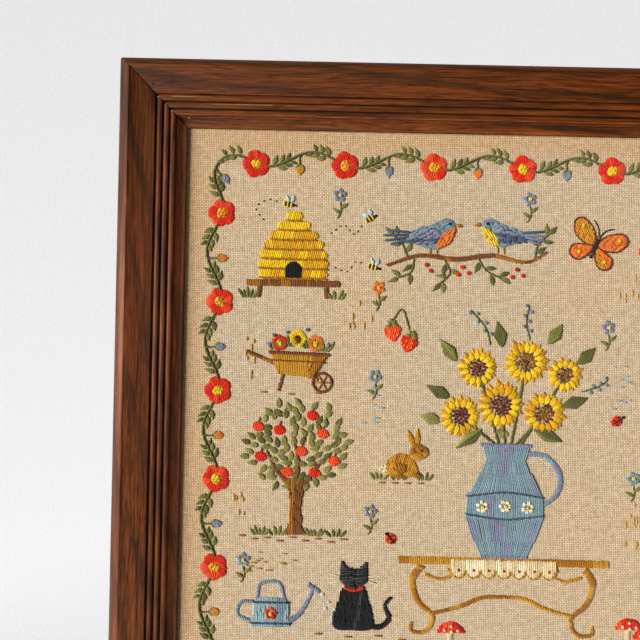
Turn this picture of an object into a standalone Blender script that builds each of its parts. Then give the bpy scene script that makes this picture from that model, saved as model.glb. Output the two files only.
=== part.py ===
"""Crewel embroidery picture in its reeded oak frame.

A linen ground is stretched flat over a board and held in the rebate of four mitred rails.
Metres, +Z up. The picture faces -Y, and +X is on the right of someone who looks at it.
The origin is on the back of the top rail, half way along it, where the picture hangs.
"""

import math

import bmesh
import bpy
from mathutils import Matrix, Vector

# Opening that shows the cloth, and the moulding round it
SIGHT_WIDTH = 0.496
SIGHT_HEIGHT = 0.394
MOULDING_WIDTH = 0.045
PIECE_GAP = 0.0003

# Heights of the moulding's section above the back of the frame
SIDE_HEIGHT = 0.0115
CREST_HEIGHT = 0.0216
FACE_FOOT_HEIGHT = 0.0176
LIP_HEIGHT = 0.0113
REBATE_DEPTH = 0.0093

# Places across the moulding, from its outer edge towards the picture
CREST_INSET = 0.0096
CREST_WIDTH = 0.0010
FACE_END = 0.0256
FIRST_REED = 0.0270
LIP_START = 0.0420
REBATE_WIDTH = 0.0060

# Three reeds, each a round top on short upright sides
REED_COUNT = 3
REED_WIDTH = 0.0031
REED_PITCH = 0.0042
REED_RISE = 0.0005
REED_STEP_DOWN = 0.0007
GROOVE_DEPTH = 0.0016

# How far each bowed stretch of the section stands off its chord, and the lip's rounding
SHOULDER_BOW = 0.0011
CREST_BOW = 0.0002
FACE_BOW = -0.0002
COVE_BOW = -0.0005
LIP_ROUND = 0.0007
BOW_STEPS = 8

# Cloth and board behind the rails
LINEN_THICKNESS = 0.0010
LINEN_BELLY = 0.00025
LINEN_RIPPLE = 0.00006
LINEN_CELLS = (36, 28)
BOARD_THICKNESS = 0.0040
BOARD_CLEARANCE = 0.0005

# Point of the top rail's back that meets the wall, from the outer edge
HANGING_INSET = 0.020

OUTER_WIDTH = SIGHT_WIDTH + 2 * MOULDING_WIDTH
OUTER_HEIGHT = SIGHT_HEIGHT + 2 * MOULDING_WIDTH
CENTRE = Vector((0, 0, HANGING_INSET - OUTER_HEIGHT / 2))
LINEN_WIDTH = SIGHT_WIDTH + 2 * REBATE_WIDTH - 2 * BOARD_CLEARANCE
LINEN_HEIGHT = SIGHT_HEIGHT + 2 * REBATE_WIDTH - 2 * BOARD_CLEARANCE
LINEN_FRONT = REBATE_DEPTH - PIECE_GAP

# Each rail: its name, its turn from the bottom rail's place, and its outer length and offset
RAILS = (
    ("rail_bottom", 0, OUTER_WIDTH, OUTER_HEIGHT / 2),
    ("rail_left", 90, OUTER_HEIGHT, OUTER_WIDTH / 2),
    ("rail_top", 180, OUTER_WIDTH, OUTER_HEIGHT / 2),
    ("rail_right", 270, OUTER_HEIGHT, OUTER_WIDTH / 2),
)

COLOURS = {
    "stained_oak": ((0.115, 0.040, 0.014, 1), 0.42),
    "linen": ((0.68, 0.53, 0.35, 1), 0.9),
    "grey_board": ((0.30, 0.25, 0.19, 1), 0.85),
}


def clear_scene():
    for old in list(bpy.data.objects):
        bpy.data.objects.remove(old, do_unlink=True)


def new_collection(name):
    collection = bpy.data.collections.new(name)
    bpy.context.scene.collection.children.link(collection)
    return collection


def new_material(name):
    colour, roughness = COLOURS[name]
    material = bpy.data.materials.new(name)
    material.use_nodes = True
    shader = material.node_tree.nodes["Principled BSDF"]
    shader.inputs["Base Color"].default_value = colour
    shader.inputs["Roughness"].default_value = roughness
    shader.inputs["Metallic"].default_value = 0
    return material


def bowed(start, end, bow, steps=BOW_STEPS):
    """Points from start to end along a circular arc whose middle stands bow off the chord."""
    start, end = Vector(start), Vector(end)
    chord = end - start
    half = chord.length / 2
    radius = (half**2 + bow**2) / (2 * abs(bow))
    side = Vector((-chord.y, chord.x)).normalized() * math.copysign(1, bow)
    centre = (start + end) / 2 + side * (abs(bow) - radius)
    reach = math.asin(min(1, half / radius))
    along = chord.normalized()
    angles = [reach * (2 * step / steps - 1) for step in range(steps + 1)]
    return [
        centre + along * radius * math.sin(angle) + side * radius * math.cos(angle)
        for angle in angles
    ]


def reed(index):
    """One reed of the moulding: up its outer side, over its round top, down its inner side."""
    start = FIRST_REED + index * REED_PITCH
    end = start + REED_WIDTH
    top = FACE_FOOT_HEIGHT - index * REED_STEP_DOWN
    shoulder = top - REED_RISE
    floor = top - GROOVE_DEPTH
    over = bowed((start, shoulder), (end, shoulder), REED_RISE)
    return [Vector((start, floor)), *over, Vector((end, floor - REED_STEP_DOWN))]


def moulding_section():
    """Outline of the moulding: distance from its outer edge, and height above its back."""
    crest_start = Vector((CREST_INSET - CREST_WIDTH / 2, CREST_HEIGHT - CREST_BOW))
    crest_end = Vector((CREST_INSET + CREST_WIDTH / 2, CREST_HEIGHT - CREST_BOW))
    face_end = Vector((FACE_END, FACE_FOOT_HEIGHT))
    outline = [Vector((0, 0))]
    outline += bowed((0, SIDE_HEIGHT), crest_start, SHOULDER_BOW)
    outline += bowed(crest_start, crest_end, CREST_BOW, 4)[1:]
    outline += bowed(crest_end, face_end, FACE_BOW)[1:]
    outline.append(Vector((FACE_END, FACE_FOOT_HEIGHT - GROOVE_DEPTH)))
    for index in range(REED_COUNT):
        outline += reed(index)
    outline += bowed(outline[-1], (LIP_START, LIP_HEIGHT), COVE_BOW)[1:]
    sight_edge = MOULDING_WIDTH
    lip_bow = LIP_ROUND * (1 - math.sqrt(0.5))
    outline += bowed(
        (sight_edge - LIP_ROUND, LIP_HEIGHT), (sight_edge, LIP_HEIGHT - LIP_ROUND), lip_bow, 4
    )
    outline.append(Vector((sight_edge, REBATE_DEPTH)))
    outline.append(Vector((sight_edge - REBATE_WIDTH, REBATE_DEPTH)))
    outline.append(Vector((sight_edge - REBATE_WIDTH, 0)))
    return outline


def bar_mesh(name, outline, length):
    """A straight bar of this section, made from a flat curve that is extruded both ways."""
    curve = bpy.data.curves.new(name, "CURVE")
    curve.dimensions = "2D"
    curve.fill_mode = "BOTH"
    curve.extrude = length / 2
    spline = curve.splines.new("POLY")
    spline.points.add(len(outline) - 1)
    for point, place in zip(spline.points, outline):
        point.co = (place.x, place.y, 0, 1)
    spline.use_cyclic_u = True
    guide = bpy.data.objects.new(name, curve)
    bpy.context.scene.collection.objects.link(guide)
    graph = bpy.context.evaluated_depsgraph_get()
    mesh = bpy.data.meshes.new_from_object(guide.evaluated_get(graph))
    bpy.data.objects.remove(guide, do_unlink=True)
    return mesh


def mitre(mesh, length):
    """Welds the bar's caps, and cuts both its ends at 45 degrees towards the sight edge.

    An end point moves in along the bar as far as it lies from the outer edge.
    """
    set_back = PIECE_GAP / 2 * math.sqrt(2)
    bar = bmesh.new()
    bar.from_mesh(mesh)
    bmesh.ops.remove_doubles(bar, verts=bar.verts, dist=1e-6)
    for vert in bar.verts:
        end = length / 2 - vert.co.x - set_back
        vert.co.z = math.copysign(end, vert.co.z)
    bmesh.ops.recalc_face_normals(bar, faces=bar.faces)
    bar.to_mesh(mesh)
    bar.free()


def add_rail(collection, name, turn, length, offset, material):
    """A mitred rail, with its section across the bar turned so that its front faces -Y."""
    mesh = bar_mesh(name, moulding_section(), length)
    mitre(mesh, length)
    inward, forward, along = Vector((0, 0, 1)), Vector((0, -1, 0)), Vector((1, 0, 0))
    mesh.transform(Matrix((inward, forward, along)).transposed().to_4x4())
    mesh.shade_smooth()
    mesh.set_sharp_from_angle(angle=math.radians(35))
    mesh.materials.append(material)
    rail = bpy.data.objects.new(name, mesh)
    turned = Matrix.Rotation(math.radians(turn), 3, "Y")
    rail.location = CENTRE + turned @ Vector((0, 0, -offset))
    rail.rotation_euler = (0, math.radians(turn), 0)
    collection.objects.link(rail)


def belly(x, z):
    """How far the stretched cloth stands forward of flat, in a low crown with faint ripples."""
    across = math.cos(math.pi * x / LINEN_WIDTH)
    down = math.cos(math.pi * z / LINEN_HEIGHT)
    ripple = math.sin(9 * math.pi * x / LINEN_WIDTH) * math.sin(7 * math.pi * z / LINEN_HEIGHT)
    return across * down * (LINEN_BELLY + LINEN_RIPPLE * ripple)


def add_linen(collection, material):
    """The ground: a grid in the cloth's front face, thickened backwards."""
    sheet = bmesh.new()
    columns, rows = LINEN_CELLS
    bmesh.ops.create_grid(sheet, x_segments=columns, y_segments=rows, size=0.5)
    bmesh.ops.scale(sheet, vec=(LINEN_WIDTH, LINEN_HEIGHT, 1), verts=sheet.verts)
    bmesh.ops.rotate(sheet, matrix=Matrix.Rotation(math.pi / 2, 3, "X"), verts=sheet.verts)
    for vert in sheet.verts:
        vert.co.y = -belly(vert.co.x, vert.co.z)
    mesh = bpy.data.meshes.new("linen_ground")
    sheet.to_mesh(mesh)
    sheet.free()
    mesh.shade_smooth()
    mesh.materials.append(material)
    linen = bpy.data.objects.new("linen_ground", mesh)
    linen.location = CENTRE + Vector((0, -LINEN_FRONT, 0))
    thicken = linen.modifiers.new("cloth thickness", "SOLIDIFY")
    thicken.thickness = LINEN_THICKNESS
    thicken.offset = -1
    collection.objects.link(linen)


def add_board(collection, material):
    """The flat board that the cloth is stretched over, in the rebate behind it."""
    front = LINEN_FRONT - LINEN_THICKNESS - PIECE_GAP
    box = bmesh.new()
    bmesh.ops.create_cube(box, size=1)
    bmesh.ops.scale(box, vec=(LINEN_WIDTH, BOARD_THICKNESS, LINEN_HEIGHT), verts=box.verts)
    mesh = bpy.data.meshes.new("backing_board")
    box.to_mesh(mesh)
    box.free()
    mesh.materials.append(material)
    board = bpy.data.objects.new("backing_board", mesh)
    board.location = CENTRE + Vector((0, BOARD_THICKNESS / 2 - front, 0))
    collection.objects.link(board)


def main():
    clear_scene()
    picture = new_collection("framed_crewel_picture")
    oak = new_material("stained_oak")
    for name, turn, length, offset in RAILS:
        add_rail(picture, name, turn, length, offset, oak)
    add_linen(picture, new_material("linen"))
    add_board(picture, new_material("grey_board"))


main()
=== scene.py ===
"""Looks of a crewel embroidery picture in its reeded oak frame.

Metres, +Z up, and the picture faces -Y. The needlework is laid out in millimetres, to the right
and up from the lower left corner of the opening that shows the cloth.
"""

import math

import bpy
import numpy as np
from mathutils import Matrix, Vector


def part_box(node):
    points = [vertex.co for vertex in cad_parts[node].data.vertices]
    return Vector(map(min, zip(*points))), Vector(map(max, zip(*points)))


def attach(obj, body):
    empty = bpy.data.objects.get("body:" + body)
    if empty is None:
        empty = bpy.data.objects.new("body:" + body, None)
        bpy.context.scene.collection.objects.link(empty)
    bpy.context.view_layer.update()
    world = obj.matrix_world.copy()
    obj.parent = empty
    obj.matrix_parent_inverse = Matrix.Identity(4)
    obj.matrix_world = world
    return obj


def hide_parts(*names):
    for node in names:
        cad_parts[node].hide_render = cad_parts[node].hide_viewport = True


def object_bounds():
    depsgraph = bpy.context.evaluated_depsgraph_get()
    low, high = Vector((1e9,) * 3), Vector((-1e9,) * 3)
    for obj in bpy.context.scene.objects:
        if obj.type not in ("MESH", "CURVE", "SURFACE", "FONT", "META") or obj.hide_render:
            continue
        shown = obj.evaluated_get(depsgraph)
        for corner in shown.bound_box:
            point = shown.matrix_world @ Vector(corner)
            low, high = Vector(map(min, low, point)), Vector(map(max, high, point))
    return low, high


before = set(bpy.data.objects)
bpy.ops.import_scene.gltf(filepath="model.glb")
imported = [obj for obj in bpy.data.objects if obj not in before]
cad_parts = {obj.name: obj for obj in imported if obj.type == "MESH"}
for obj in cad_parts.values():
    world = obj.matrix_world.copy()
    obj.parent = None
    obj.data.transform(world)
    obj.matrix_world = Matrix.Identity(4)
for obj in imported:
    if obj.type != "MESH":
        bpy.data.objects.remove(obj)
CAD_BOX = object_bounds()
MM = 0.001

# Camera, at the photograph's place and angle
CAMERA_PLACE = (-0.1565, -0.3293, -0.1491)
CAMERA_TURN = (89.781, -1.309, 0.194)
CAMERA_LENS = 27.06

# Studio: pale floor and backdrop, a dim fill from all round, and a glowing floor that stands for floor lamps and
# lights the picture from below
FLOOR_DROP = 1.50
BACKDROP_DISTANCE = 1.25
STUDIO_SIZE = 7.0
FILL_STRENGTH = 0.012
FLOOR_GLOW = 0.22
STUDIO_COLOUR = (235, 235, 234)
WALL_COLOURS = ((229, 229, 229), (236, 236, 236))

# Lights: name, strength, width, and the tilt and turn of each, in degrees
LIGHTS = (
    ("key_light", 4.75, 30.0, (-4.0, -54.5)),
    ("wall_bounce", 0.25, 50.0, (-12.0, -106.0)),
)

# The frame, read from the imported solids
LOW, HIGH = (np.array(corner) for corner in CAD_BOX)
CENTRE = (LOW + HIGH) / 2
OUTER_WIDTH = HIGH[0] - LOW[0]
OUTER_HEIGHT = HIGH[2] - LOW[2]
RAIL_LOW, RAIL_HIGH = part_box("rail_top")
MOULDING_WIDTH = RAIL_HIGH.z - RAIL_LOW.z
SIGHT_CORNER = LOW + MOULDING_WIDTH
SIGHT_WIDTH = (OUTER_WIDTH - 2 * MOULDING_WIDTH) / MM
SIGHT_HEIGHT = (OUTER_HEIGHT - 2 * MOULDING_WIDTH) / MM
LINEN_LOW, LINEN_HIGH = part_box("linen_ground")
LINEN_WIDTH = LINEN_HIGH.x - LINEN_LOW.x
LINEN_HEIGHT = LINEN_HIGH.z - LINEN_LOW.z

# Moulding: heights of its section above the back of the frame
SIDE_HEIGHT = 0.0115
CREST_HEIGHT = 0.0216
FACE_FOOT_HEIGHT = 0.0176
LIP_HEIGHT = 0.0113
REBATE_DEPTH = 0.0093

# Moulding: places across its section, from the outer edge towards the picture
CREST_INSET = 0.0096
CREST_WIDTH = 0.0010
FACE_END = 0.0256
FIRST_REED = 0.0270
LIP_START = 0.0420
REBATE_WIDTH = 0.0060

# Moulding: its three reeds, and how far each bowed stretch stands off its chord
REED_COUNT = 3
REED_WIDTH = 0.0031
REED_PITCH = 0.0042
REED_RISE = 0.0005
REED_STEP_DOWN = 0.0007
GROOVE_DEPTH = 0.0016
SHOULDER_BOW = 0.0011
CREST_BOW = 0.0002
FACE_BOW = -0.0002
COVE_BOW = -0.0005
LIP_ROUND = 0.0007
ARRIS_ROUND = 0.0003

# Rails: name, turn from the bottom rail's place, outer length and offset
RAILS = (
    ("rail_bottom", 0, OUTER_WIDTH, OUTER_HEIGHT / 2),
    ("rail_left", 90, OUTER_HEIGHT, OUTER_WIDTH / 2),
    ("rail_top", 180, OUTER_WIDTH, OUTER_HEIGHT / 2),
    ("rail_right", 270, OUTER_HEIGHT, OUTER_WIDTH / 2),
)

# Rails: the gap at each mitre, the ease of its edges, and stations along the wood from the mitre
PIECE_GAP = 0.0003
MITRE_EASE = 0.00022
CORNER_ROUND = 0.0016
MITRE_STATIONS = (0.0, 0.00012, 0.0003, 0.0006, 0.0012, 0.0025, 0.005, 0.008)
STATION_PITCH = 0.010
GRAIN_SHIFT = 1.7
SIDE_GRAIN = GRAIN_SHIFT
TOP_GRAIN = 2 * GRAIN_SHIFT

# Rails: how light the wood is at three shares of a rail's length, on its face and elsewhere. On a side rail's face
# the wood is painted lighter than elsewhere, most towards one end, standing in for light that falls there
TONE_SHARES = (0.05, 0.30, 0.75)
LEVEL_TONES = (0.76, 0.80, 0.96)
SIDE_TONES = (0.82, 0.96, 0.90)
SIDE_FACE_TONE_AND_LIGHT = (0.80, 1.10, 1.48)
FACE_ACROSS = (0.0085, 0.0105, 0.0250, 0.0262)

# Rails: painted light and shade, as gains on the wood's colour at places across a rail: a level rail's cove, lip
# and last reed's inner side lighter; a side rail's crest with a painted highlight and its outer flank with painted
# shade; and the left rail's cove and lip much lighter, where the lamps leave them in shade
COVE_ACROSS = (0.0385, 0.0395, 0.0410, 0.0430, 0.0444)
LEVEL_PAINTED_LIGHT = (
    (COVE_ACROSS, (1.0, 1.1, 1.15, 1.4, 1.5)),
    ((0.0379, 0.0383, 0.0388, 0.0393), (1, 2.4, 2.4, 1)),
)
SIDE_PAINTED_LIGHT = (
    ((0.0098, 0.0104, 0.0125, 0.0150), (1, 1.35, 1.2, 1)),
    ((0.0, 0.0035, 0.0060), (0.74, 0.80, 1)),
)
LEFT_PAINTED_LIGHT = ((COVE_ACROSS, (1.0, 3.0, 3.8, 3.2, 1.2)),)

# Rails: how ashen the wood is along a rail, greyer towards one end, and in the left rail's cove a grey painted
# sheen, the reflection of a pale room
ASH_SHARES = (0.35, 1.0)
ASH_ALONG = (0, 0.34)
LEFT_COVE_SHEEN = (0.0, 0.3, 0.5, 0.5, 0.2)

# Rails: wear of the sharp edges, and on a side rail's outer shoulder a painted sheen, the reflection of a bright
# wall beside it, with a little wear from hands
SIDE_WEAR = 0.2
WEAR_ACROSS = (0.012, 0.024)
WEAR_SHOULDER = (0.3, 1)
SHEEN_SHARES = (0.05, 0.17, 0.31, 0.44, 0.58)
SHEEN_ALONG = (0.25, 0.50, 1.05, 0.95, 0.30)
SHEEN_ACROSS = (0.0, 0.0030, 0.0055, 0.0072, 0.0085, 0.0100)
SHEEN_SHOULDER = (0.0, 0.10, 0.70, 1.0, 0.75, 0.25)

# Top rail: pale lines along a reed's upper edge: across, from, to, strength
PALE_LINE_WIDTH = 0.00035
PALE_REED_LINES = (
    (FIRST_REED + 0.0004, 0.262, 0.226, 1.0),
    (FIRST_REED + REED_PITCH + 0.0004, 0.232, 0.170, 1.0),
    (FIRST_REED + REED_PITCH + 0.0004, 0.160, 0.110, 0.4),
)

# Oak: its streaks, smoky bands and olive patches, a painted sheen with a little wear on a side rail's shoulder, a
# greyer colour that is a painted sheen in the left rail's cove, and pale reed lines, as a screen shows them
OAK_DARK = (81, 38, 10)
OAK_LIGHT = (134, 64, 19)
OAK_SMOKE = (46, 25, 10)
OAK_OLIVE = (88, 58, 24)
OAK_PORE = (34, 18, 9)
OAK_SHOULDER_SHEEN = (156, 104, 82)
OAK_ASH_AND_SHEEN = (112, 76, 54)
OAK_WORN = (160, 88, 34)
OAK_PALE_LINE = (196, 152, 88)
OAK_WAX = (46, 30, 15)
RINGS_ACROSS = 230.0
RINGS_UP = 170.0
RINGS_ALONG = 2.0

# Oak: dark figure bands a metre, across and along a rail, their start, and how far they wander
LEVEL_FIGURE = (92.0, 5.5, 0.35, 2.6)
SIDE_FIGURE = (-52.0, 13.0, 0.0, 1.0)

# Oak: small marks, as a place along the grain, across and up, a size, a strength and a colour
OAK_MARKS = (
    ((TOP_GRAIN + 0.2685, 0.0205, 0.0189), 0.0011, 0.85, (24, 14, 10)),
    ((TOP_GRAIN + 0.2467, 0.0395, 0.0128), 0.0007, 0.6, (206, 184, 150)),
    ((SIDE_GRAIN - 0.2141, 0.0275, 0.0170), 0.0007, 0.7, (226, 210, 184)),
    ((SIDE_GRAIN - 0.2059, 0.0358, 0.0158), 0.0007, 0.7, (226, 210, 184)),
    ((SIDE_GRAIN - 0.0210, 0.0045, 0.0172), 0.0010, 0.5, (222, 180, 168)),
    ((SIDE_GRAIN - 0.0190, 0.0048, 0.0174), 0.0008, 0.5, (60, 30, 26)),
)

# Board behind the cloth
BOARD_COLOURS = ((98, 76, 52), (138, 111, 80))

# Cloth: its front above the back of the frame, its crown and ripples, and its threads, with painted shade in the
# gaps between them and a painted highlight on their crowns
LINEN_FRONT = 0.0090
LINEN_THICKNESS = 0.0010
LINEN_BELLY = 0.00025
LINEN_RIPPLE = 0.00006
LINEN_PUCKER = 0.00005
LINEN_CELL = 0.004
LINEN_WARM = (226, 198, 156)
LINEN_GREY = (222, 199, 164)
LINEN_TANNED = (220, 178, 128)
LINEN_GAP_SHADE = (146, 106, 62)
LINEN_CROWN_HIGHLIGHT = (238, 222, 194)
LINEN_FLECK = (110, 75, 45)
WARP_PITCH = 0.00117
WEFT_PITCH = 0.00120
WEAVE_DEPTH = 0.00034

# Wool: a strand as it lies, in millimetres, the sides of its mesh, and its twist in metres
STRAND_WIDTH = 1.5
STRAND_SPACING = 0.80
STRAND_FLATNESS = 0.54
STRAND_SIDES = 5
LINE_WIDTH = 1.7
SHORTEST_STITCH = 0.6
LONGEST_STITCH = 15.0
DYE_SPREAD = 0.06
DYE_RUN = 6
PLY_LENGTH = 0.0024

# Wool: most length and share of a stitch in which it comes up, and in which it reaches its height
DIP_LENGTH = 0.45
DIP_SHARE = 0.16
LEVEL_LENGTH = 1.5
LEVEL_SHARE = 0.36

# Wool: height and thickness of a stitch at its seven stations, and height of a knot's ten
STITCH_RISE = np.array((-0.45, 0.2, 0.9, 1.0, 0.9, 0.2, -0.45))
STITCH_CROWN = np.array((0, 0, 0.3, 0.6, 0.3, 0, 0))
STITCH_LIFT = np.array((0, 0.75, 1, 1, 1, 0.75, 0))
STITCH_TAPER = np.array((0.55, 0.86, 1, 1, 1, 0.86, 0.55))
KNOT_RISE = np.array((0.0, 0.16, 0.2, 0.22, 0.25, 0.28, 0.31, 0.34, 0.36, 0.2))
KNOT_TURNS = 1.35

# Needlework: the border's vine, the blossoms on it, and the leaves on a sprig
BORDER_INSET = 19.0
BORDER_CORNER = 20.0
BORDER_SWING = 5.0
BORDER_WAVELENGTH = 58.0
BLOSSOM_RADIUS = 9.5
BLOSSOM_PETALS = 5
BLOSSOM_EYE = 0.36
LEAF_LEAN = math.radians(48)
GOLDEN_ANGLE = math.pi * (3 - math.sqrt(5))

# Dyes of the wool, as a screen shows them
LEAF = (126, 124, 62)
MOSS = (100, 98, 48)
OLIVE = (146, 138, 72)
RED = (216, 42, 14)
SCARLET = (232, 76, 34)
RUST = (176, 62, 34)
ORANGE = (230, 120, 40)
YELLOW = (238, 196, 28)
CORN = (220, 162, 24)
GOLD = (194, 138, 36)
AMBER = (166, 106, 20)
BROWN = (126, 74, 34)
MAROON = (108, 44, 34)
BLUE = (124, 148, 154)
PALE_BLUE = (148, 174, 178)
LAVENDER = (130, 134, 154)
INDIGO = (76, 88, 108)
PALE = (192, 208, 206)
CREAM = (240, 226, 184)
BUFF = (222, 200, 150)
BLACK = (26, 24, 24)
INK = (52, 48, 50)

# Patches of single seed stitches: left, bottom, width, height, dye, and the stitches' angle
SEED_PATCHES = (
    (38, 216, 10, 40, GOLD, 90),
    (118, 196, 14, 30, PALE_BLUE, 0),
    (36, 136, 8, 30, GOLD, 90),
    (280, 214, 16, 30, PALE_BLUE, 0),
    (296, 120, 18, 34, GOLD, 90),
    (110, 262, 18, 18, GOLD, 90),
    (226, 300, 16, 26, PALE_BLUE, 0),
    (288, 284, 18, 20, GOLD, 90),
    (40, 100, 40, 14, GOLD, 0),
    (452, 150, 8, 90, PALE_BLUE, 90),
    (386, 60, 20, 18, GOLD, 0),
)


def linear(colour):
    """Colour from 0 to 255 as a screen shows it, made linear, with full opacity."""
    share = np.array(colour, float) / 255
    light = np.where(share <= 0.04045, share / 12.92, ((share + 0.055) / 1.055) ** 2.4)
    return (*light.tolist(), 1.0)


class Value:
    """The output of a material's node, which adds and multiplies as a plain number does."""

    def __init__(self, finish, node, output):
        self.finish = finish
        self.node = node
        self.socket = node.outputs[output]

    def math(self, operation, *others):
        return self.finish.node("Math", self, *others, operation=operation)

    def __add__(self, other):
        return self.math("ADD", other)

    def __sub__(self, other):
        return self.math("SUBTRACT", other)

    def __mul__(self, other):
        return self.math("MULTIPLY", other)

    def apart(self):
        """The three parts of a vector."""
        node = self.finish.node("SeparateXYZ", self).node
        return [Value(self.finish, node, part) for part in range(3)]

    def noise(self, scale, detail=2.0, roughness=0.5):
        """Noise from 0 to 1 at this place, with scale features a metre, or so many along each axis."""
        scale = np.broadcast_to(scale, 3).tolist()
        place = self.finish.node("VectorMath", self, scale, operation="MULTIPLY")
        made = self.finish.node("TexNoise", place)
        for name, number in (("Scale", 1.0), ("Detail", detail), ("Roughness", roughness)):
            made.node.inputs[name].default_value = number
        return made

    def between(self, low, high, start=0.0, end=1.0, smooth=True):
        """Start where this is low, end where it is high, and a soft step from one to the other."""
        kind = "SMOOTHSTEP" if smooth else "LINEAR"
        return self.finish.node("MapRange", self, low, high, start, end, interpolation_type=kind)


class Finish:
    """One material, with short calls that add its nodes. Lengths in it are metres."""

    def __init__(self, name, roughness, **constants):
        self.material = bpy.data.materials.new(name)
        self.material.use_nodes = True
        self.tree = self.material.node_tree
        self.shader = self.tree.nodes["Principled BSDF"]
        self.shader.inputs["Roughness"].default_value = roughness
        for socket, value in constants.items():
            self.shader.inputs[socket.replace("_", " ")].default_value = value

    def feed(self, socket, value):
        if isinstance(value, Value):
            self.tree.links.new(value.socket, socket)
        else:
            socket.default_value = value

    def node(self, kind, *values, output=0, **settings):
        made = self.tree.nodes.new("ShaderNode" + kind)
        for name, value in settings.items():
            setattr(made, name, value)
        for socket, value in zip(made.inputs, values):
            self.feed(socket, value)
        return Value(self, made, output)

    def place(self):
        return self.node("TexCoord", output=3)

    def attribute(self, name, output=2):
        return self.node("Attribute", output=output, attribute_name=name)

    def together(self, *parts):
        return self.node("CombineXYZ", *parts)

    def mix(self, share, first, second):
        """First colour where share is 0, second where it is 1."""
        made = self.node("Mix", output=2, data_type="RGBA", blend_type="MIX")
        self.feed(made.node.inputs[0], share)
        for socket, colour in zip(made.node.inputs[6:8], (first, second)):
            self.feed(socket, colour if isinstance(colour, Value) else linear(colour))
        return made

    def brighten(self, colour, *factors):
        """Colour times one number at each point, or times one for each of its parts."""
        colour = colour if isinstance(colour, Value) else linear(colour)[:3]
        factors = factors if len(factors) == 3 else factors * 3
        return self.node("VectorMath", colour, self.together(*factors), operation="MULTIPLY")

    def finish(self, colour, height, roughness=None):
        """Colour, the height of the relief in metres, and roughness, into the shader."""
        self.feed(self.shader.inputs["Base Color"], colour)
        if roughness is not None:
            self.feed(self.shader.inputs["Roughness"], roughness)
        bump = self.node("Bump").node
        for name, value in (("Strength", 1.0), ("Distance", 1.0), ("Height", height)):
            self.feed(bump.inputs[name], value)
        self.tree.links.new(bump.outputs[0], self.shader.inputs["Normal"])
        return self.material


def add_surface(name, points, faces, material):
    """An object at the origin from points and arrays of faces, one for each count of corners."""
    mesh = bpy.data.meshes.new(name)
    corners = np.concatenate([rows.ravel() for rows in faces])
    sizes = np.concatenate([np.full(len(rows), rows.shape[1]) for rows in faces])
    starts = np.concatenate([[0], np.cumsum(sizes)[:-1]])
    mesh.vertices.add(len(points))
    mesh.vertices.foreach_set("co", points.astype(np.float32).ravel())
    mesh.loops.add(len(corners))
    mesh.loops.foreach_set("vertex_index", corners.astype(np.int32))
    mesh.polygons.add(len(sizes))
    mesh.polygons.foreach_set("loop_start", starts.astype(np.int32))
    mesh.update(calc_edges=True)
    mesh.validate()
    mesh.shade_smooth()
    mesh.materials.append(material)
    piece = bpy.data.objects.new(name, mesh)
    bpy.context.scene.collection.objects.link(piece)
    return piece


def add_attribute(piece, name, values):
    """Stores a number, a vector or a colour for each point of the mesh."""
    kinds = {1: ("FLOAT", "value"), 3: ("FLOAT_VECTOR", "vector"), 4: ("FLOAT_COLOR", "color")}
    values = np.ascontiguousarray(values, np.float32).ravel()
    kind, field = kinds[len(values) // len(piece.data.vertices)]
    piece.data.attributes.new(name, kind, "POINT").data.foreach_set(field, values)


def grid_faces(rows, columns, closed_columns=False):
    """Corners of the quads of a grid of points. Closed columns join the last one to the first."""
    index = np.arange(rows * columns).reshape(rows, columns)
    if closed_columns:
        index = np.concatenate([index, index[:, :1]], axis=1)
    quads = np.stack([index[:-1, :-1], index[:-1, 1:], index[1:, 1:], index[1:, :-1]], axis=-1)
    return quads.reshape(-1, 4)


def left_of(way):
    """The direction to the left of each direction in a plane."""
    return np.stack([-way[..., 1], way[..., 0]], axis=-1)


def towards(angle):
    """Unit directions at these angles, in radians, anticlockwise from the right."""
    return np.stack([np.cos(angle), np.sin(angle)], axis=-1)


def spokes(count, turn=0.0):
    """Unit directions evenly round a circle."""
    return towards(2 * math.pi * np.arange(count) / count + turn)


def bowed(start, end, bow, steps=14):
    """Points from start to end along a circular arc whose middle stands bow off the chord."""
    start, end = np.array(start, float), np.array(end, float)
    chord = end - start
    half = np.hypot(*chord) / 2
    radius = (half**2 + bow**2) / (2 * abs(bow))
    along = chord / (2 * half)
    side = left_of(along) * math.copysign(1, bow)
    centre = (start + end) / 2 + side * (abs(bow) - radius)
    angles = math.asin(min(1, half / radius)) * np.linspace(-1, 1, steps + 1)[:, None]
    return centre + along * radius * np.sin(angles) + side * radius * np.cos(angles)


def reed(index):
    """One reed of the moulding: up its outer side, over its round top, down its inner side."""
    start = FIRST_REED + index * REED_PITCH
    end = start + REED_WIDTH
    top = FACE_FOOT_HEIGHT - index * REED_STEP_DOWN
    floor = top - GROOVE_DEPTH
    over = bowed((start, top - REED_RISE), (end, top - REED_RISE), REED_RISE, 10)
    return [(start, floor), *over, (end, floor - REED_STEP_DOWN)]


def round_corners(outline, radius, least_turn=math.radians(28)):
    """A closed outline with its sharp corners rounded.

    A corner becomes four points of a quadratic curve, which has the corner as its handle and
    starts and ends one radius away along the two sides.
    """
    back = np.roll(outline, 1, axis=0) - outline
    on = np.roll(outline, -1, axis=0) - outline
    back_length = np.hypot(*back.T)[:, None]
    on_length = np.hypot(*on.T)[:, None]
    turn = math.pi - np.arccos(np.clip((back * on).sum(1) / (back_length * on_length)[:, 0], -1, 1))
    start = outline + back / back_length * np.minimum(radius, 0.45 * back_length)
    end = outline + on / on_length * np.minimum(radius, 0.45 * on_length)
    share = np.linspace(0, 1, 4)[None, :, None]
    curve = start[:, None] * (1 - share) ** 2 + outline[:, None] * 2 * share * (1 - share)
    curve = curve + end[:, None] * share**2
    sharp = turn > least_turn
    curve[~sharp] = outline[~sharp][:, None]
    return curve[sharp[:, None] | (np.arange(4) == 0)]


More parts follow.
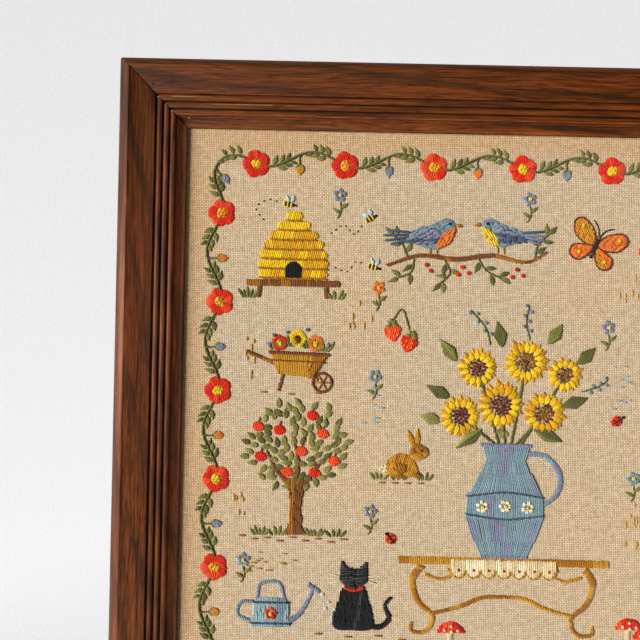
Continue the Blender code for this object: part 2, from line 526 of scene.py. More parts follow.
def moulding_section():
    """Outline of the moulding: distance from its outer edge, and height above its back."""
    crest_height = CREST_HEIGHT - CREST_BOW
    crest_start = (CREST_INSET - CREST_WIDTH / 2, crest_height)
    crest_end = (CREST_INSET + CREST_WIDTH / 2, crest_height)
    reeds = [point for index in range(REED_COUNT) for point in reed(index)]
    lip_bow = LIP_ROUND * (1 - math.sqrt(0.5))
    lip_end = (MOULDING_WIDTH, LIP_HEIGHT - LIP_ROUND)
    rebate_side = MOULDING_WIDTH - REBATE_WIDTH
    outline = [
        (0, 0),
        *bowed((0, SIDE_HEIGHT), crest_start, SHOULDER_BOW),
        *bowed(crest_start, crest_end, CREST_BOW, 4)[1:],
        *bowed(crest_end, (FACE_END, FACE_FOOT_HEIGHT), FACE_BOW)[1:],
        (FACE_END, FACE_FOOT_HEIGHT - GROOVE_DEPTH),
        *reeds,
        *bowed(reeds[-1], (LIP_START, LIP_HEIGHT), COVE_BOW)[1:],
        *bowed((MOULDING_WIDTH - LIP_ROUND, LIP_HEIGHT), lip_end, lip_bow, 5),
        (MOULDING_WIDTH, REBATE_DEPTH),
        (rebate_side, REBATE_DEPTH),
        (rebate_side, 0),
    ]
    return round_corners(np.array(outline), ARRIS_ROUND)


def section_facts(outline):
    """Outward direction, grime and wear of each point of the section.

    The outward direction is the left of the way that the outline runs. Grime is the depth below a
    line over the face's foot, the reeds and the lip, in groove depths. Wear is how sharply the
    outline bends outwards.
    """
    on = np.roll(outline, -1, axis=0) - outline
    on /= np.hypot(*on.T)[:, None]
    back = np.roll(on, 1, axis=0)
    way = on + back
    way /= np.hypot(*way.T)[:, None]
    last_top = FACE_FOOT_HEIGHT - (REED_COUNT - 1) * REED_STEP_DOWN
    reeds_end = FIRST_REED + (REED_COUNT - 1) * REED_PITCH + REED_WIDTH
    over = np.interp(
        outline[:, 0],
        (FACE_END - 0.001, FACE_END, reeds_end, reeds_end + 0.0008, MOULDING_WIDTH),
        (0, FACE_FOOT_HEIGHT, last_top, LIP_HEIGHT, LIP_HEIGHT),
    )
    grime = np.clip((over - outline[:, 1]) / GROOVE_DEPTH, 0, 1)
    grime[outline[:, 1] < REBATE_DEPTH + 0.0001] = 0
    bend = -(back[:, 0] * on[:, 1] - back[:, 1] * on[:, 0])
    wear = np.clip(bend * 2.5, 0, 1)
    wear = (np.roll(wear, 1) + 2 * wear + np.roll(wear, -1)) / 4
    return left_of(way), grime, wear


def mitred_bar(outline, outward, length):
    """Each point's place along, across and above a rail's back, and its distance from the cut.

    The section is carried along the wood, from one 45 degree cut to the other. A point's place
    along it is the rail's half length less its distance from the outer edge, so both ends are
    mitred. Near the cuts the section draws in by a small ease, which rounds the edges of the joint.
    A point near the frame's corner, closer than the rounding to both outer edges, moves onto a
    circle round the rounding's centre, as far out as it lies from the edge.
    """
    half = length / 2 - outline[:, 0] - PIECE_GAP / 2 * math.sqrt(2)
    near = np.array(MITRE_STATIONS)
    middle = np.linspace(-1, 1, int(length / STATION_PITCH))[1:-1]
    inner = middle[:, None] * (half - near[-1])
    along = np.concatenate([near[:, None] - half, inner, half - near[::-1, None]])
    from_cut = np.concatenate([near, np.full(len(middle), near[-1]), near[::-1]])[:, None]
    ease = MITRE_EASE * np.clip(1 - from_cut / MITRE_STATIONS[2], 0, 1) ** 2
    across = outline[:, 0] - outward[:, 0] * ease
    height = outline[:, 1] - outward[:, 1] * ease
    from_end = length / 2 - np.abs(along)
    inset = np.maximum(across, 0)
    reach = CORNER_ROUND - inset
    corner = (from_end < CORNER_ROUND) & (inset < CORNER_ROUND)
    share = np.clip((from_end - inset) / np.maximum(reach, 1e-6), 0, 1)
    swing = math.pi / 4 * (1 - share)
    rounded = length / 2 - CORNER_ROUND + reach * np.sin(swing)
    along = np.where(corner, np.sign(along) * rounded, along)
    across = np.where(corner, CORNER_ROUND - reach * np.cos(swing), across)
    return along, across, height, from_cut


def rail_looks(name, level, length, grain, from_cut, outline, grime, wear):
    """What the oak finish reads at each point of a rail, by name.

    Dirt gathers in the grooves and at the cuts. Tone goes from the end to the middle of a rail and
    across it by the tables at the top, which also paint light and shade. A side rail's shoulder gets a
    painted sheen with some wear, and the left rail's cove a grey painted sheen. A pale line fades
    along the wood and on both its sides.
    """
    along, across = grain[..., 0], grain[..., 1]
    share = along / length + 0.5
    edge_wear = np.interp(outline[:, 0], WEAR_ACROSS, WEAR_SHOULDER) * (1.0 if level else SIDE_WEAR)
    # Painted sheen with a little wear: a side rail's outer shoulder is lighter and pinker, standing in for a bright
    # wall's reflection
    handled = np.interp(share, SHEEN_SHARES, SHEEN_ALONG) * (not level)
    rubbed = 0 * across
    for line, start, end, strength in PALE_REED_LINES if name == "rail_top" else ():
        fade = np.clip((start - along) / 0.004, 0, 1) * np.clip((along - end) / 0.02, 0, 1)
        rubbed = rubbed + strength * fade * np.exp(-(((across - line) / PALE_LINE_WIDTH) ** 2))
    plain = np.interp(share, TONE_SHARES, LEVEL_TONES if level else SIDE_TONES)
    # On a side rail's face the tone is painted lighter, standing in for light
    face = np.interp(share, TONE_SHARES, LEVEL_TONES if level else SIDE_FACE_TONE_AND_LIGHT)
    tone = plain + (face - plain) * np.interp(across, FACE_ACROSS, (0, 1, 1, 0))
    left = name == "rail_left"
    # Painted light and shade across the section, as gains on the tone
    for places, light_gains in (LEVEL_PAINTED_LIGHT if level else SIDE_PAINTED_LIGHT) + (LEFT_PAINTED_LIGHT if left else ()):
        tone = tone * np.interp(across, places, light_gains)
    ash = np.interp(share, ASH_SHARES, ASH_ALONG)
    # Painted sheen: the left rail's cove is greyed, standing in for the reflection of a pale room
    if left:
        ash = np.maximum(ash, np.interp(across, COVE_ACROSS, LEFT_COVE_SHEEN))
    return {
        "grime": np.clip(grime + 0.9 * np.exp(-from_cut / 0.0006), 0, 1),
        "wear": np.broadcast_to(wear * edge_wear, along.shape),
        "handled": handled * np.interp(across, SHEEN_ACROSS, SHEEN_SHOULDER),
        "rubbed": rubbed * (1 - grime),
        "tone": tone,
        "ash": ash,
    }


def add_rail(name, index, turn, length, offset, material):
    """A mitred rail, turned about Y from the bottom rail's place, with the grain along it."""
    outline = moulding_section()
    outward, grime, wear = section_facts(outline)
    along, across, height, from_cut = mitred_bar(outline, outward, length)
    angle = math.radians(turn)
    inward = across - offset
    x = CENTRE[0] + along * math.cos(angle) + inward * math.sin(angle)
    z = CENTRE[2] - along * math.sin(angle) + inward * math.cos(angle)
    points = np.stack([x, HIGH[1] - height, z], axis=-1).reshape(-1, 3)
    stations, around = along.shape
    ends = np.arange(around)
    sides = grid_faces(stations, around, closed_columns=True)[:, ::-1]
    caps = np.stack([ends, ends[::-1] + (stations - 1) * around])
    rail = add_surface(name + "_oak", points, [sides, caps], material)
    rail.data.set_sharp_from_angle(angle=math.radians(40))
    grain = np.stack([along, across, height], axis=-1)
    level = turn % 180 == 0
    looks = rail_looks(name, level, length, grain, from_cut, outline, grime, wear)
    grain[..., 0] += GRAIN_SHIFT * index
    bands_across, bands_along, start, wander = LEVEL_FIGURE if level else SIDE_FIGURE
    figure = across * bands_across + grain[..., 0] * bands_along + start
    looks |= {"grain": grain, "figure": figure, "wander": 0 * across + wander}
    for attribute, values in looks.items():
        add_attribute(rail, attribute, values)
    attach(rail, "root")
    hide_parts(name)


def oak_finish():
    """Stained oak: streaks and smoky bands along the grain, growth rings, pores and worn arrises.

    Across the grain a slow wave sways every streak. The grooves hold a little dark wax. The tone that
    each rail carries holds painted light and shade, and its shoulder and cove colours a painted sheen.
    """
    oak = Finish("stained oak", 0.42, Specular_IOR_Level=0.12)
    grain = oak.attribute("grain", output=1)
    along, across, height = grain.apart()
    sway = (grain.noise((6, 26, 26)) - 0.5) * 0.015
    bent = oak.together(along, across + sway, height)
    smoke = bent.noise((8, 130, 130), 3.0, 0.55)
    bands = bent.noise((13, 330, 330))
    streaks = bent.noise((42, 900, 900), 3.0, 0.6)
    pore = bent.noise((95, 1500, 1500), 1.0).between(0.53, 0.68)
    fibres = bent.noise((190, 3200, 3200), 2.0, 0.6)
    tone = bands * 0.75 + smoke * 0.75 + streaks * 0.8 + fibres * 0.3
    flow = grain.noise((4.5, 30, 30)) * 3.4
    ring = (across * RINGS_ACROSS + height * RINGS_UP + flow + along * RINGS_ALONG).math("FRACT")
    late = ring.between(0.55, 0.93) * ring.between(1.0, 0.95) * bands.between(0.40, 0.62, 0.25, 1.0)
    colour = oak.mix(tone.between(0.98, 1.64), OAK_DARK, OAK_LIGHT)
    colour = oak.mix(tone.between(1.24, 1.00, 0, 0.65), colour, OAK_SMOKE)
    colour = oak.mix(late * 0.55, colour, OAK_SMOKE)
    figure = grain.noise((3.6, 20, 20)) * oak.attribute("wander") + oak.attribute("figure")
    figure = figure.math("FRACT")
    figure = figure.between(0.24, 0.36) * figure.between(0.70, 0.48)
    figure = figure * streaks.between(0.36, 0.60, 1.0, 0.7)
    figure = figure * grain.noise((9, 50, 50), 1.0).between(0.30, 0.46)
    colour = oak.mix(figure * 0.8, colour, OAK_SMOKE)
    # The tone attribute holds painted light and shade as well as the wood's own tone
    light = oak.attribute("tone") * streaks.between(0.3, 0.7, 0.70, 1.30, smooth=False)
    # Ashen wood, and in the left rail's cove a painted sheen
    colour = oak.brighten(oak.mix(oak.attribute("ash"), colour, OAK_ASH_AND_SHEEN), light)
    colour = oak.mix(grain.noise((5, 60, 60)).between(0.5, 0.7) * 0.28, colour, OAK_OLIVE)
    colour = oak.mix(pore * 0.6, colour, OAK_PORE)
    scuffs = streaks.between(0.3, 0.7, 0.72, 1.28, smooth=False)
    scuffs = scuffs * bands.between(0.3, 0.7, 0.88, 1.12, smooth=False)
    # Painted sheen with a little wear on the side rails' outer shoulder
    handled = oak.attribute("handled") * smoke.between(0.34, 0.66, 0.36, 0.90)
    colour = oak.mix(handled, colour, oak.brighten(OAK_SHOULDER_SHEEN, scuffs))
    worn = oak.attribute("wear") * grain.noise((30, 260, 260)).between(0.42, 0.66, 0.12, 0.62)
    colour = oak.mix(worn, colour, OAK_WORN)
    rubbed = oak.attribute("rubbed") * grain.noise((110, 300, 300)).between(0.36, 0.52)
    colour = oak.mix(rubbed * 0.9, colour, OAK_PALE_LINE)
    wax = oak.attribute("grime").between(0.3, 1.0, 0, 0.25) * bands.between(0.38, 0.62, 1.0, 0.4)
    colour = oak.mix(wax, colour, OAK_WAX)
    for spot, size, share, dye in OAK_MARKS:
        away = oak.node("VectorMath", grain, spot, operation="DISTANCE", output=1)
        colour = oak.mix(away.between(size, size * 0.55) * share, colour, dye)
    relief = pore * -0.00003 + fibres * 0.00002 + streaks * 0.00003
    return oak.finish(colour, relief, wax * 0.3 + (fibres * 0.15 + 0.42))


def cloth_height(x, z):
    """Height of the cloth's front above the frame's back, at x and z from the picture's middle.

    A low crown from one long cosine wave each way, faint ripples on it, and a finer pucker that is
    the sum of three slanting sine waves.
    """
    across = np.cos(math.pi * x / LINEN_WIDTH)
    down = np.cos(math.pi * z / LINEN_HEIGHT)
    ripple = np.sin(9 * math.pi * x / LINEN_WIDTH) * np.sin(7 * math.pi * z / LINEN_HEIGHT)
    pucker = np.sin(210 * x + 60 * z) + np.sin(150 * z - 95 * x) + np.sin(330 * x - 280 * z) / 2
    rise = LINEN_BELLY + LINEN_RIPPLE * ripple + LINEN_PUCKER * pucker
    return LINEN_FRONT + across * down * rise


def add_linen(material):
    """The ground: a grid of points on the cloth's front, thickened backwards."""
    columns = int(LINEN_WIDTH / LINEN_CELL)
    rows = int(LINEN_HEIGHT / LINEN_CELL)
    x, z = np.meshgrid(
        np.linspace(-LINEN_WIDTH / 2, LINEN_WIDTH / 2, columns),
        np.linspace(-LINEN_HEIGHT / 2, LINEN_HEIGHT / 2, rows),
    )
    points = np.stack([CENTRE[0] + x, HIGH[1] - cloth_height(x, z), CENTRE[2] + z], axis=-1)
    linen = add_surface("linen", points.reshape(-1, 3), [grid_faces(rows, columns)], material)
    thicken = linen.modifiers.new("cloth thickness", "SOLIDIFY")
    thicken.thickness = LINEN_THICKNESS
    thicken.offset = -1
    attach(linen, "root")
    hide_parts("linen_ground")
    return linen


def linen_finish():
    """Plain woven linen.

    Warp and weft are ridges, the size of a sine wave, along their threads. The product of the two
    waves changes sign from one crossing to the next, and says which thread lies on top there.
    """
    linen = Finish("linen", 0.85, Sheen_Weight=0.15, Specular_IOR_Level=0.25)
    place = linen.place()
    x, _, z = place.apart()
    column = place.noise((150, 150, 16), 2.0, 0.6) * 0.9 + x * (1 / WARP_PITCH)
    row = place.noise((16, 150, 150), 2.0, 0.6) * 0.9 + z * (1 / WEFT_PITCH)
    warp_wave = (column * math.pi).math("SINE")
    weft_wave = (row * math.pi).math("SINE")
    over = warp_wave * weft_wave
    warp_height = warp_wave.math("ABSOLUTE") * (over * 0.5 + 0.5)
    weft_height = weft_wave.math("ABSOLUTE") * (over * -0.5 + 0.5)
    height = warp_height.math("MAXIMUM", weft_height)
    warp_on_top = (warp_height - weft_height).between(-0.08, 0.08)
    warp_tone = linen.together(column.math("FLOOR"), 0.0, z).noise((0.73, 1, 160))
    weft_tone = linen.together(x, 0.0, row.math("FLOOR")).noise((160, 1, 0.73))
    tone = weft_tone + (warp_tone - weft_tone) * warp_on_top
    cloud = place.noise(9, 3.0)
    edge_x = x.math("ABSOLUTE") * -1.0 + LINEN_WIDTH / 2
    edge_z = (z - float(CENTRE[2])).math("ABSOLUTE") * -1.0 + LINEN_HEIGHT / 2
    edge = edge_x.math("MINIMUM", edge_z) + (cloud - 0.5) * 0.016
    colour = linen.mix(cloud.between(0.35, 0.65), LINEN_WARM, LINEN_GREY)
    colour = linen.mix(edge.between(0.036, 0.010) * 0.85, colour, LINEN_TANNED)
    light = tone.between(0.25, 0.75, 0.80, 1.20, smooth=False)
    # Painted shade: where the warp lies on top, across the light, the threads are darker
    light = light * place.noise(330).between(0.3, 0.7, 0.88, 1.12) * (warp_on_top * -0.26 + 1.16)
    colour = linen.brighten(colour, light, light.math("POWER", 1.15), light.math("POWER", 1.5))
    # Painted shade in the gaps between threads, and a painted highlight on their crowns
    colour = linen.mix(height.between(0.06, 0.5), LINEN_GAP_SHADE, colour)
    colour = linen.mix(height.between(0.75, 1.0, 0, 0.3), colour, LINEN_CROWN_HIGHLIGHT)
    fleck = place.noise(420, 1.0).between(0.78, 0.83)
    colour = linen.mix(fleck * 0.55, colour, LINEN_FLECK)
    return linen.finish(colour, height * WEAVE_DEPTH)


def board_finish():
    """Brown fibre board: fine specks and broad clouds."""
    board = Finish("fibre board", 0.8)
    place = board.place()
    specks = place.noise(900, 3.0, 0.7)
    tone = place.noise(14, 3.0) * 0.16 + specks * 0.9
    return board.finish(board.mix(tone.between(0.30, 0.75), *BOARD_COLOURS), specks * 0.00015)


def studio_finish(glow):
    """Matt pale paint with a faint roller texture. Glow makes a surface give off light: on the floor it stands for
    floor lamps and also lights the picture from below.
    """
    paint = Finish("pale paint", 0.95, Specular_IOR_Level=0.1, Emission_Strength=glow)
    orange_peel = paint.place().noise(160)
    colour = paint.mix(orange_peel.between(0.3, 0.7), *WALL_COLOURS)
    return paint.finish(colour, orange_peel * 0.0006)


def wool_finish():
    """Crewel wool: dyed strands with a two ply twist, fine fibres and a soft sheen.

    The ply is a sine wave along the strand that goes once round it in each length of its twist. It is a relief, and
    it also darkens the colour in the twist's grooves, which is painted shade.
    """
    wool = Finish("crewel wool", 0.82, Sheen_Weight=0.25, Sheen_Roughness=0.4, Specular_IOR_Level=0.2)
    along, cosine, sine = wool.attribute("twist", output=1).apart()
    turned = along * (2 * math.pi / PLY_LENGTH)
    ply = (turned.math("SINE") * cosine + turned.math("COSINE") * sine).between(-1.0, 0.4)
    fibres = wool.together(along * 260, cosine * 4, sine).noise((1, 1, 4), 2.0, 0.6)
    patches = wool.place().noise(350, 1.0).between(0.3, 0.7, 0.92, 1.08)
    # The ply darkens the colour in its grooves: painted shade
    light = fibres.between(0.25, 0.75, 0.82, 1.16, smooth=False) * (ply * 0.20 + 0.86) * patches
    colour = wool.brighten(wool.attribute("dye", output=0), light)
    return wool.finish(colour, fibres * 0.00009 + ply * 0.00010)


def add_studio():
    """Camera, soft key light, a faint one off the wall, dim fill, and a staged floor and backdrop."""
    camera = bpy.data.objects.new("camera", bpy.data.cameras.new("camera"))
    camera.data.lens = CAMERA_LENS
    camera.data.clip_start = 0.01
    camera.location = CAMERA_PLACE
    camera.rotation_euler = [math.radians(turn) for turn in CAMERA_TURN]
    bpy.context.scene.collection.objects.link(camera)
    bpy.context.scene.camera = camera
    bpy.context.scene.view_settings.view_transform = "Standard"

    for name, strength, width, (tilt, turn) in LIGHTS:
        light = bpy.data.objects.new(name, bpy.data.lights.new(name, "SUN"))
        light.data.energy = strength
        light.data.angle = math.radians(width)
        light.rotation_euler = (math.radians(90 + tilt), 0, math.radians(turn))
        bpy.context.scene.collection.objects.link(light)

    world = bpy.data.worlds.new("studio")
    bpy.context.scene.world = world
    world.use_nodes = True
    nodes, links = world.node_tree.nodes, world.node_tree.links
    backdrop = nodes["Background"]
    backdrop.inputs[0].default_value = linear(STUDIO_COLOUR)
    fill = nodes.new("ShaderNodeBackground")
    fill.inputs[1].default_value = FILL_STRENGTH
    rays = nodes.new("ShaderNodeLightPath")
    choice = nodes.new("ShaderNodeMixShader")
    links.new(rays.outputs["Is Camera Ray"], choice.inputs[0])
    links.new(fill.outputs[0], choice.inputs[1])
    links.new(backdrop.outputs[0], choice.inputs[2])
    links.new(choice.outputs[0], nodes["World Output"].inputs[0])

    reach, back, floor = STUDIO_SIZE / 2, BACKDROP_DISTANCE, -FLOOR_DROP
    ground = [(-reach, -reach, floor), (reach, -reach, floor), (reach, back, floor), (-reach, back, floor)]
    top = floor + reach
    wall = [(-reach, back, floor), (reach, back, floor), (reach, back, top), (-reach, back, top)]
    for name, corners, glow in (("studio_floor", ground, FLOOR_GLOW), ("studio_backdrop", wall, 0.0)):
        add_surface(name, np.array(corners), [np.arange(4)[None]], studio_finish(glow))


def rows_at(values, places, wanted):
    """Rows of values, which stand at these places, at the places that are wanted."""
    return np.stack([np.interp(wanted, places, column) for column in np.transpose(values)], axis=1)


def at_share_of(values, share):
    """Rows of values at these shares, from 0 to 1, of their count."""
    return rows_at(values, np.linspace(0, 1, len(values)), share)


def run_length(path):
    """Length of an open line of points."""
    return float(np.hypot(*np.diff(path, axis=0).T).sum())


def at_share(path, share):
    """Points at these shares, from 0 to 1, of an open line's length."""
    run = np.concatenate([[0], np.cumsum(np.hypot(*np.diff(path, axis=0).T))])
    return rows_at(path, run, np.array(share) * run[-1])


def directions(points):
    """Unit direction along a line of points, and the one to its left, at each point."""
    way = np.gradient(points, axis=0)
    way /= np.maximum(np.hypot(*way.T)[:, None], 1e-9)
    return way, left_of(way)


def smooth(points, closed=False, steps=8):
    """A curve through a few points, cubic between each two, whose slope at a point is that of the
    chord between its neighbours."""
    points = np.array(points, float)
    if closed:
        around = np.concatenate([points[-1:], points, points[:2]])
    else:
        around = np.concatenate([2 * points[:1] - points[1:2], points, 2 * points[-1:] - points[-2:-1]])
    before, start, end, after = (around[part : len(around) - 3 + part, None] for part in range(4))
    share = np.linspace(0, 1, steps, endpoint=False)[None, :, None]
    bend = 2 * before - 5 * start + 4 * end - after
    twist = 3 * start - before - 3 * end + after
    curve = start + share * (end - before) / 2 + share**2 * bend / 2 + share**3 * twist / 2
    curve = curve.reshape(-1, 2)
    return curve if closed else np.concatenate([curve, points[-1:]])


def arc(centre, radii, start, end, steps=24):
    """Points of an ellipse from one angle to another, in degrees, anticlockwise from the right."""
    return np.array(centre) + towards(np.radians(np.linspace(start, end, steps))) * radii


def arched(half, foot, spring, rise, steps=12):
    """A doorway's outline: half an ellipse over upright sides, on a level foot."""
    return [*arc((0, spring), (half, rise), 0, 180, steps), (-half, foot), (half, foot)]


def packed(count, radii):
    """Places in an ellipse, each a golden angle round from the last. Their distance from the middle
    grows with the root of their number, so they are evenly spread."""
    number = np.arange(count)
    return towards(number * GOLDEN_ANGLE) * radii * np.sqrt((number + 0.5) / count)[:, None]


def level_line(half, up):
    return ((-half, up), (half, up))


def in_turn(count):
    """-1 and 1 by turns, one to a row."""
    return np.where(np.arange(count) % 2, 1, -1)[:, None]


def mirror(points, side):
    """Points as they are where side is 1, and flipped left to right where it is -1."""
    return np.array(points, float) * (side, 1)


def moved(points, place=(0, 0), size=1.0, turn=0.0, flip=False):
    """A shape round the origin, flipped left to right if asked, sized, turned and put in place."""
    way = towards(math.radians(turn))
    shape = np.array(points, float) * ((-size, size) if flip else (size, size))
    return shape @ np.stack([way, left_of(way)]) + place


class Needlework:
    """The wool of one motif: strands are gathered here, and become one mesh at the end.

    Points are millimetres from the motif's place, and heights are millimetres above the cloth.
    """

    def __init__(self, name, seed, place=(0, 0)):
        self.name = "stitched_" + name
        self.chance = np.random.default_rng(seed)
        self.strands = []
        self.at(place)

    def at(self, place):
        """Where in the picture the next stitches are placed from."""
        self.place = np.array(place, float)

    def tint(self, dye, count):
        """The dye of each of count strands. Of several dyes, each goes on for a run of strands."""
        dyes = np.array([linear(one)[:3] for one in np.atleast_2d(dye)])
        picks = self.chance.integers(len(dyes), size=count)
        base = dyes[picks[np.cumsum(self.chance.random(count) < 1 / DYE_RUN) - 1]]
        light = np.exp(self.chance.normal(0, DYE_SPREAD, (count, 1)))
        hue = np.exp(self.chance.normal(0, DYE_SPREAD / 3, (count, 3)))
        return base * light * hue

    def stitch(self, starts, ends, dye, width=STRAND_WIDTH, bow=0.0, lift=0.0):
        """Single stitches, each a strand that comes up at its start and goes down at its end.

        Along a stitch the share s of its length runs from 0 to 1. Its line leaves the chord by
        4 s (1 - s) times bow, to the left. It rises steeply out of the cloth, lies level, and dips
        again, and it is thinner where it enters the cloth.
        """
        ends, starts = np.broadcast_arrays(np.array(ends, float, ndmin=2), starts)
        chord = ends - starts
        length = np.hypot(*chord.T)
        kept = length > SHORTEST_STITCH
        if not kept.any():
            return
        starts, chord, length = starts[kept], chord[kept], length[kept]
        bow, lift = (np.broadcast_to(one, kept.shape)[kept, None] for one in (bow, lift))
        dip = np.minimum(DIP_LENGTH, DIP_SHARE * length) / length
        level = np.minimum(LEVEL_LENGTH, LEVEL_SHARE * length) / length
        none = np.zeros(len(length))
        share = np.stack([none, dip, level, none + 0.5, 1 - level, 1 - dip, none + 1], axis=1)
        arch = 4 * share * (1 - share) * bow
        side = left_of(chord) / length[:, None]
        lines = starts[:, None] + chord[:, None] * share[..., None] + side[:, None] * arch[..., None]
        crown = np.minimum(length / 30, 0.5)[:, None] * STITCH_CROWN
        height = STITCH_RISE * width * STRAND_FLATNESS / 2 + crown + lift * STITCH_LIFT
        taper = STITCH_TAPER * width * np.exp(self.chance.normal(0, 0.05, (len(length), 1)))
        self.strands.append((lines + self.place, height, taper, self.tint(dye, len(length))))

    def lay(self, starts, ends, dye, width=STRAND_WIDTH, longest=LONGEST_STITCH, lift=0.0):
        """Side by side stitches. One that is too long is split, at a place that differs by row."""
        chord = ends - starts
        length = np.hypot(*chord.T)
        parts = np.maximum(np.ceil(length / longest).astype(int), 1)
        owner = np.repeat(np.arange(len(starts)), parts)
        which = np.arange(len(owner)) - np.repeat(np.cumsum(parts) - parts, parts)
        swing = self.chance.uniform(-0.32, 0.32, len(starts))[owner]
        overlap = 0.35 / np.maximum(length[owner], 1)
        first = np.where(which == 0, 0, (which + swing) / parts[owner] - overlap)
        last = which == parts[owner] - 1
        final = np.where(last, 1, (which + 1 + swing) / parts[owner] + overlap)
        wander = self.chance.normal(0, 0.10, (2, len(owner), 2))
        begins = starts[owner] + chord[owner] * first[:, None] + wander[0]
        closes = starts[owner] + chord[owner] * final[:, None] + wander[1]
        self.stitch(begins, closes, dye, width, self.chance.normal(0, 0.10, len(owner)), lift)

    def fill(self, outline, angle, dye, width=STRAND_WIDTH, longest=LONGEST_STITCH, lift=0.0):
        """Satin stitches at an angle, in degrees, across a closed outline.

        The outline is turned so that the stitches are level. Each row's stitches run between the
        places where it crosses the outline, taken in pairs from left to right.
        """
        way = towards(math.radians(angle))
        spin = np.stack([way, left_of(way)], axis=1)
        start = np.array(outline, float) @ spin
        end = np.roll(start, -1, axis=0)
        low, high = start[:, 1].min(), start[:, 1].max()
        rows = max(int(round((high - low) / (width * STRAND_SPACING))), 1)
        level = (low + (np.arange(rows) + 0.5) * (high - low) / rows)[:, None]
        crosses = (start[:, 1] <= level) != (end[:, 1] <= level)
        drop = np.where(crosses, end[:, 1] - start[:, 1], 1.0)
        share = (level - start[:, 1]) / drop
        at = np.where(crosses, start[:, 0] + share * (end[:, 0] - start[:, 0]), np.inf)
        at.sort(axis=1)
        pairs = at[:, : at.shape[1] // 2 * 2].reshape(rows, -1, 2)
        inside = np.isfinite(pairs[..., 1])
        height = np.broadcast_to(level, inside.shape)[inside]
        begins, closes = (np.stack([across, height], axis=1) @ spin.T for across in pairs[inside].T)
        self.lay(begins, closes, dye, width, longest, lift)

    def fill_smooth(self, points, angle, dye, longest=LONGEST_STITCH, lift=0.0):
        self.fill(smooth(points, closed=True), angle, dye, longest=longest, lift=lift)

    def fan(self, first, second, dye, longest=LONGEST_STITCH, lift=0.0):
        """Satin stitches from one open line to another, matched by their share of its length."""
        breadth = (run_length(first) + run_length(second)) / 2
        count = max(int(round(breadth / STRAND_WIDTH / STRAND_SPACING)), 1)
        share = (np.arange(count) + 0.5) / count
        self.lay(at_share(first, share), at_share(second, share), dye, STRAND_WIDTH, longest, lift)

    def ribbon(self, path, breadth, dye, slant=0.35, lift=0.0):
        """Short slanting satin stitches across a path, whose breadth is a number or evenly spaced
        numbers along it."""
        count = max(int(run_length(path) / (STRAND_WIDTH * STRAND_SPACING)), 2)
        share = (np.arange(count) + 0.5) / count
        middle = at_share(path, share)
        way, side = directions(middle)
        breadth = np.atleast_1d(breadth)
        half = np.interp(share, np.linspace(0, 1, len(breadth)), breadth)[:, None] / 2
        reach = (side - way * slant) * half
        self.lay(middle + reach, middle - reach, dye, longest=99, lift=lift)

    def stem(self, path, dye, width=LINE_WIDTH, step=4.2, lift=0.0):
        """Stem stitch: short stitches along a path, each from one side of it across to the other."""
        count = max(int(round(run_length(path) / step)), 1)
        points = at_share(path, np.linspace(0, 1, 2 * count + 1))
        way, side = directions(points)
        reach = way * step * 0.28 - side * width * 0.24
        begins = (points - reach)[:-2:2]
        closes = (points + reach)[2::2]
        across = left_of(closes - begins)
        across /= np.maximum(np.hypot(*across.T)[:, None], 1e-9)
        bow = ((points[1::2] - (begins + closes) / 2) * across).sum(1)
        self.stitch(begins, closes, dye, width, bow, lift)

    def dashes(self, path, dye, width, dash, gap):
        """Running stitch: dashes with gaps along a path."""
        total = run_length(path)
        count = max(int(total / (dash + gap)), 1)
        share = np.arange(count) / count
        self.stitch(at_share(path, share), at_share(path, share + dash / total), dye, width)

    def ground(self, dye, *rows, width=1.2, dash=5, gap=3):
        """Level rows of running stitch, each given by its two ends and its height."""
        for left, right, up in rows:
            self.dashes([(left, up), (right, up)], dye, width, dash, gap)

    def leaves(self, bases, tips, breadth, dye, strands=4, width=1.35, lift=0.0):
        """Pointed leaves or petals: each a few strands from its base to its tip, bowed apart."""
        bases, tips = (np.array(points, float, ndmin=2)[:, None] for points in (bases, tips))
        swell = np.linspace(-1, 1, strands)
        inset = (tips - bases) * np.abs(swell)[:, None]
        starts = bases + inset * 0.05
        ends = tips - inset * 0.16
        ends = ends + self.chance.normal(0, 0.15, ends.shape)
        bow = np.tile(swell * (breadth - width) / 2, len(tips))
        self.stitch(starts.reshape(-1, 2), ends.reshape(-1, 2), dye, width, bow, lift)

    def knots(self, points, dye, size=2.3, lift=0.0):
        """French knots: each a strand that winds once and a third round a point, and closes on it."""
        points = np.array(points, float, ndmin=2)[:, None] + self.place
        share = np.linspace(0, 1, len(KNOT_RISE))
        angle = self.chance.uniform(0, 2 * math.pi, (len(points), 1)) + share * 2 * math.pi * KNOT_TURNS
        reach = size * 0.27 * np.sin(math.pi * np.clip(share, 0.03, 0.97)) ** 0.3
        height = np.broadcast_to(KNOT_RISE * size + lift, angle.shape)
        width = np.full(angle.shape, size * 0.46)
        lines = points + towards(angle) * reach[:, None]
        self.strands.append((lines, height, width, self.tint(dye, len(points))))

    def seeded_disc(self, centre, radius, dye, size=2.0, lift=0.0):
        """Knots packed in a disc."""
        count = max(int((radius / size * 1.9) ** 2), 1)
        self.knots(centre + packed(count, radius), dye, size, lift)

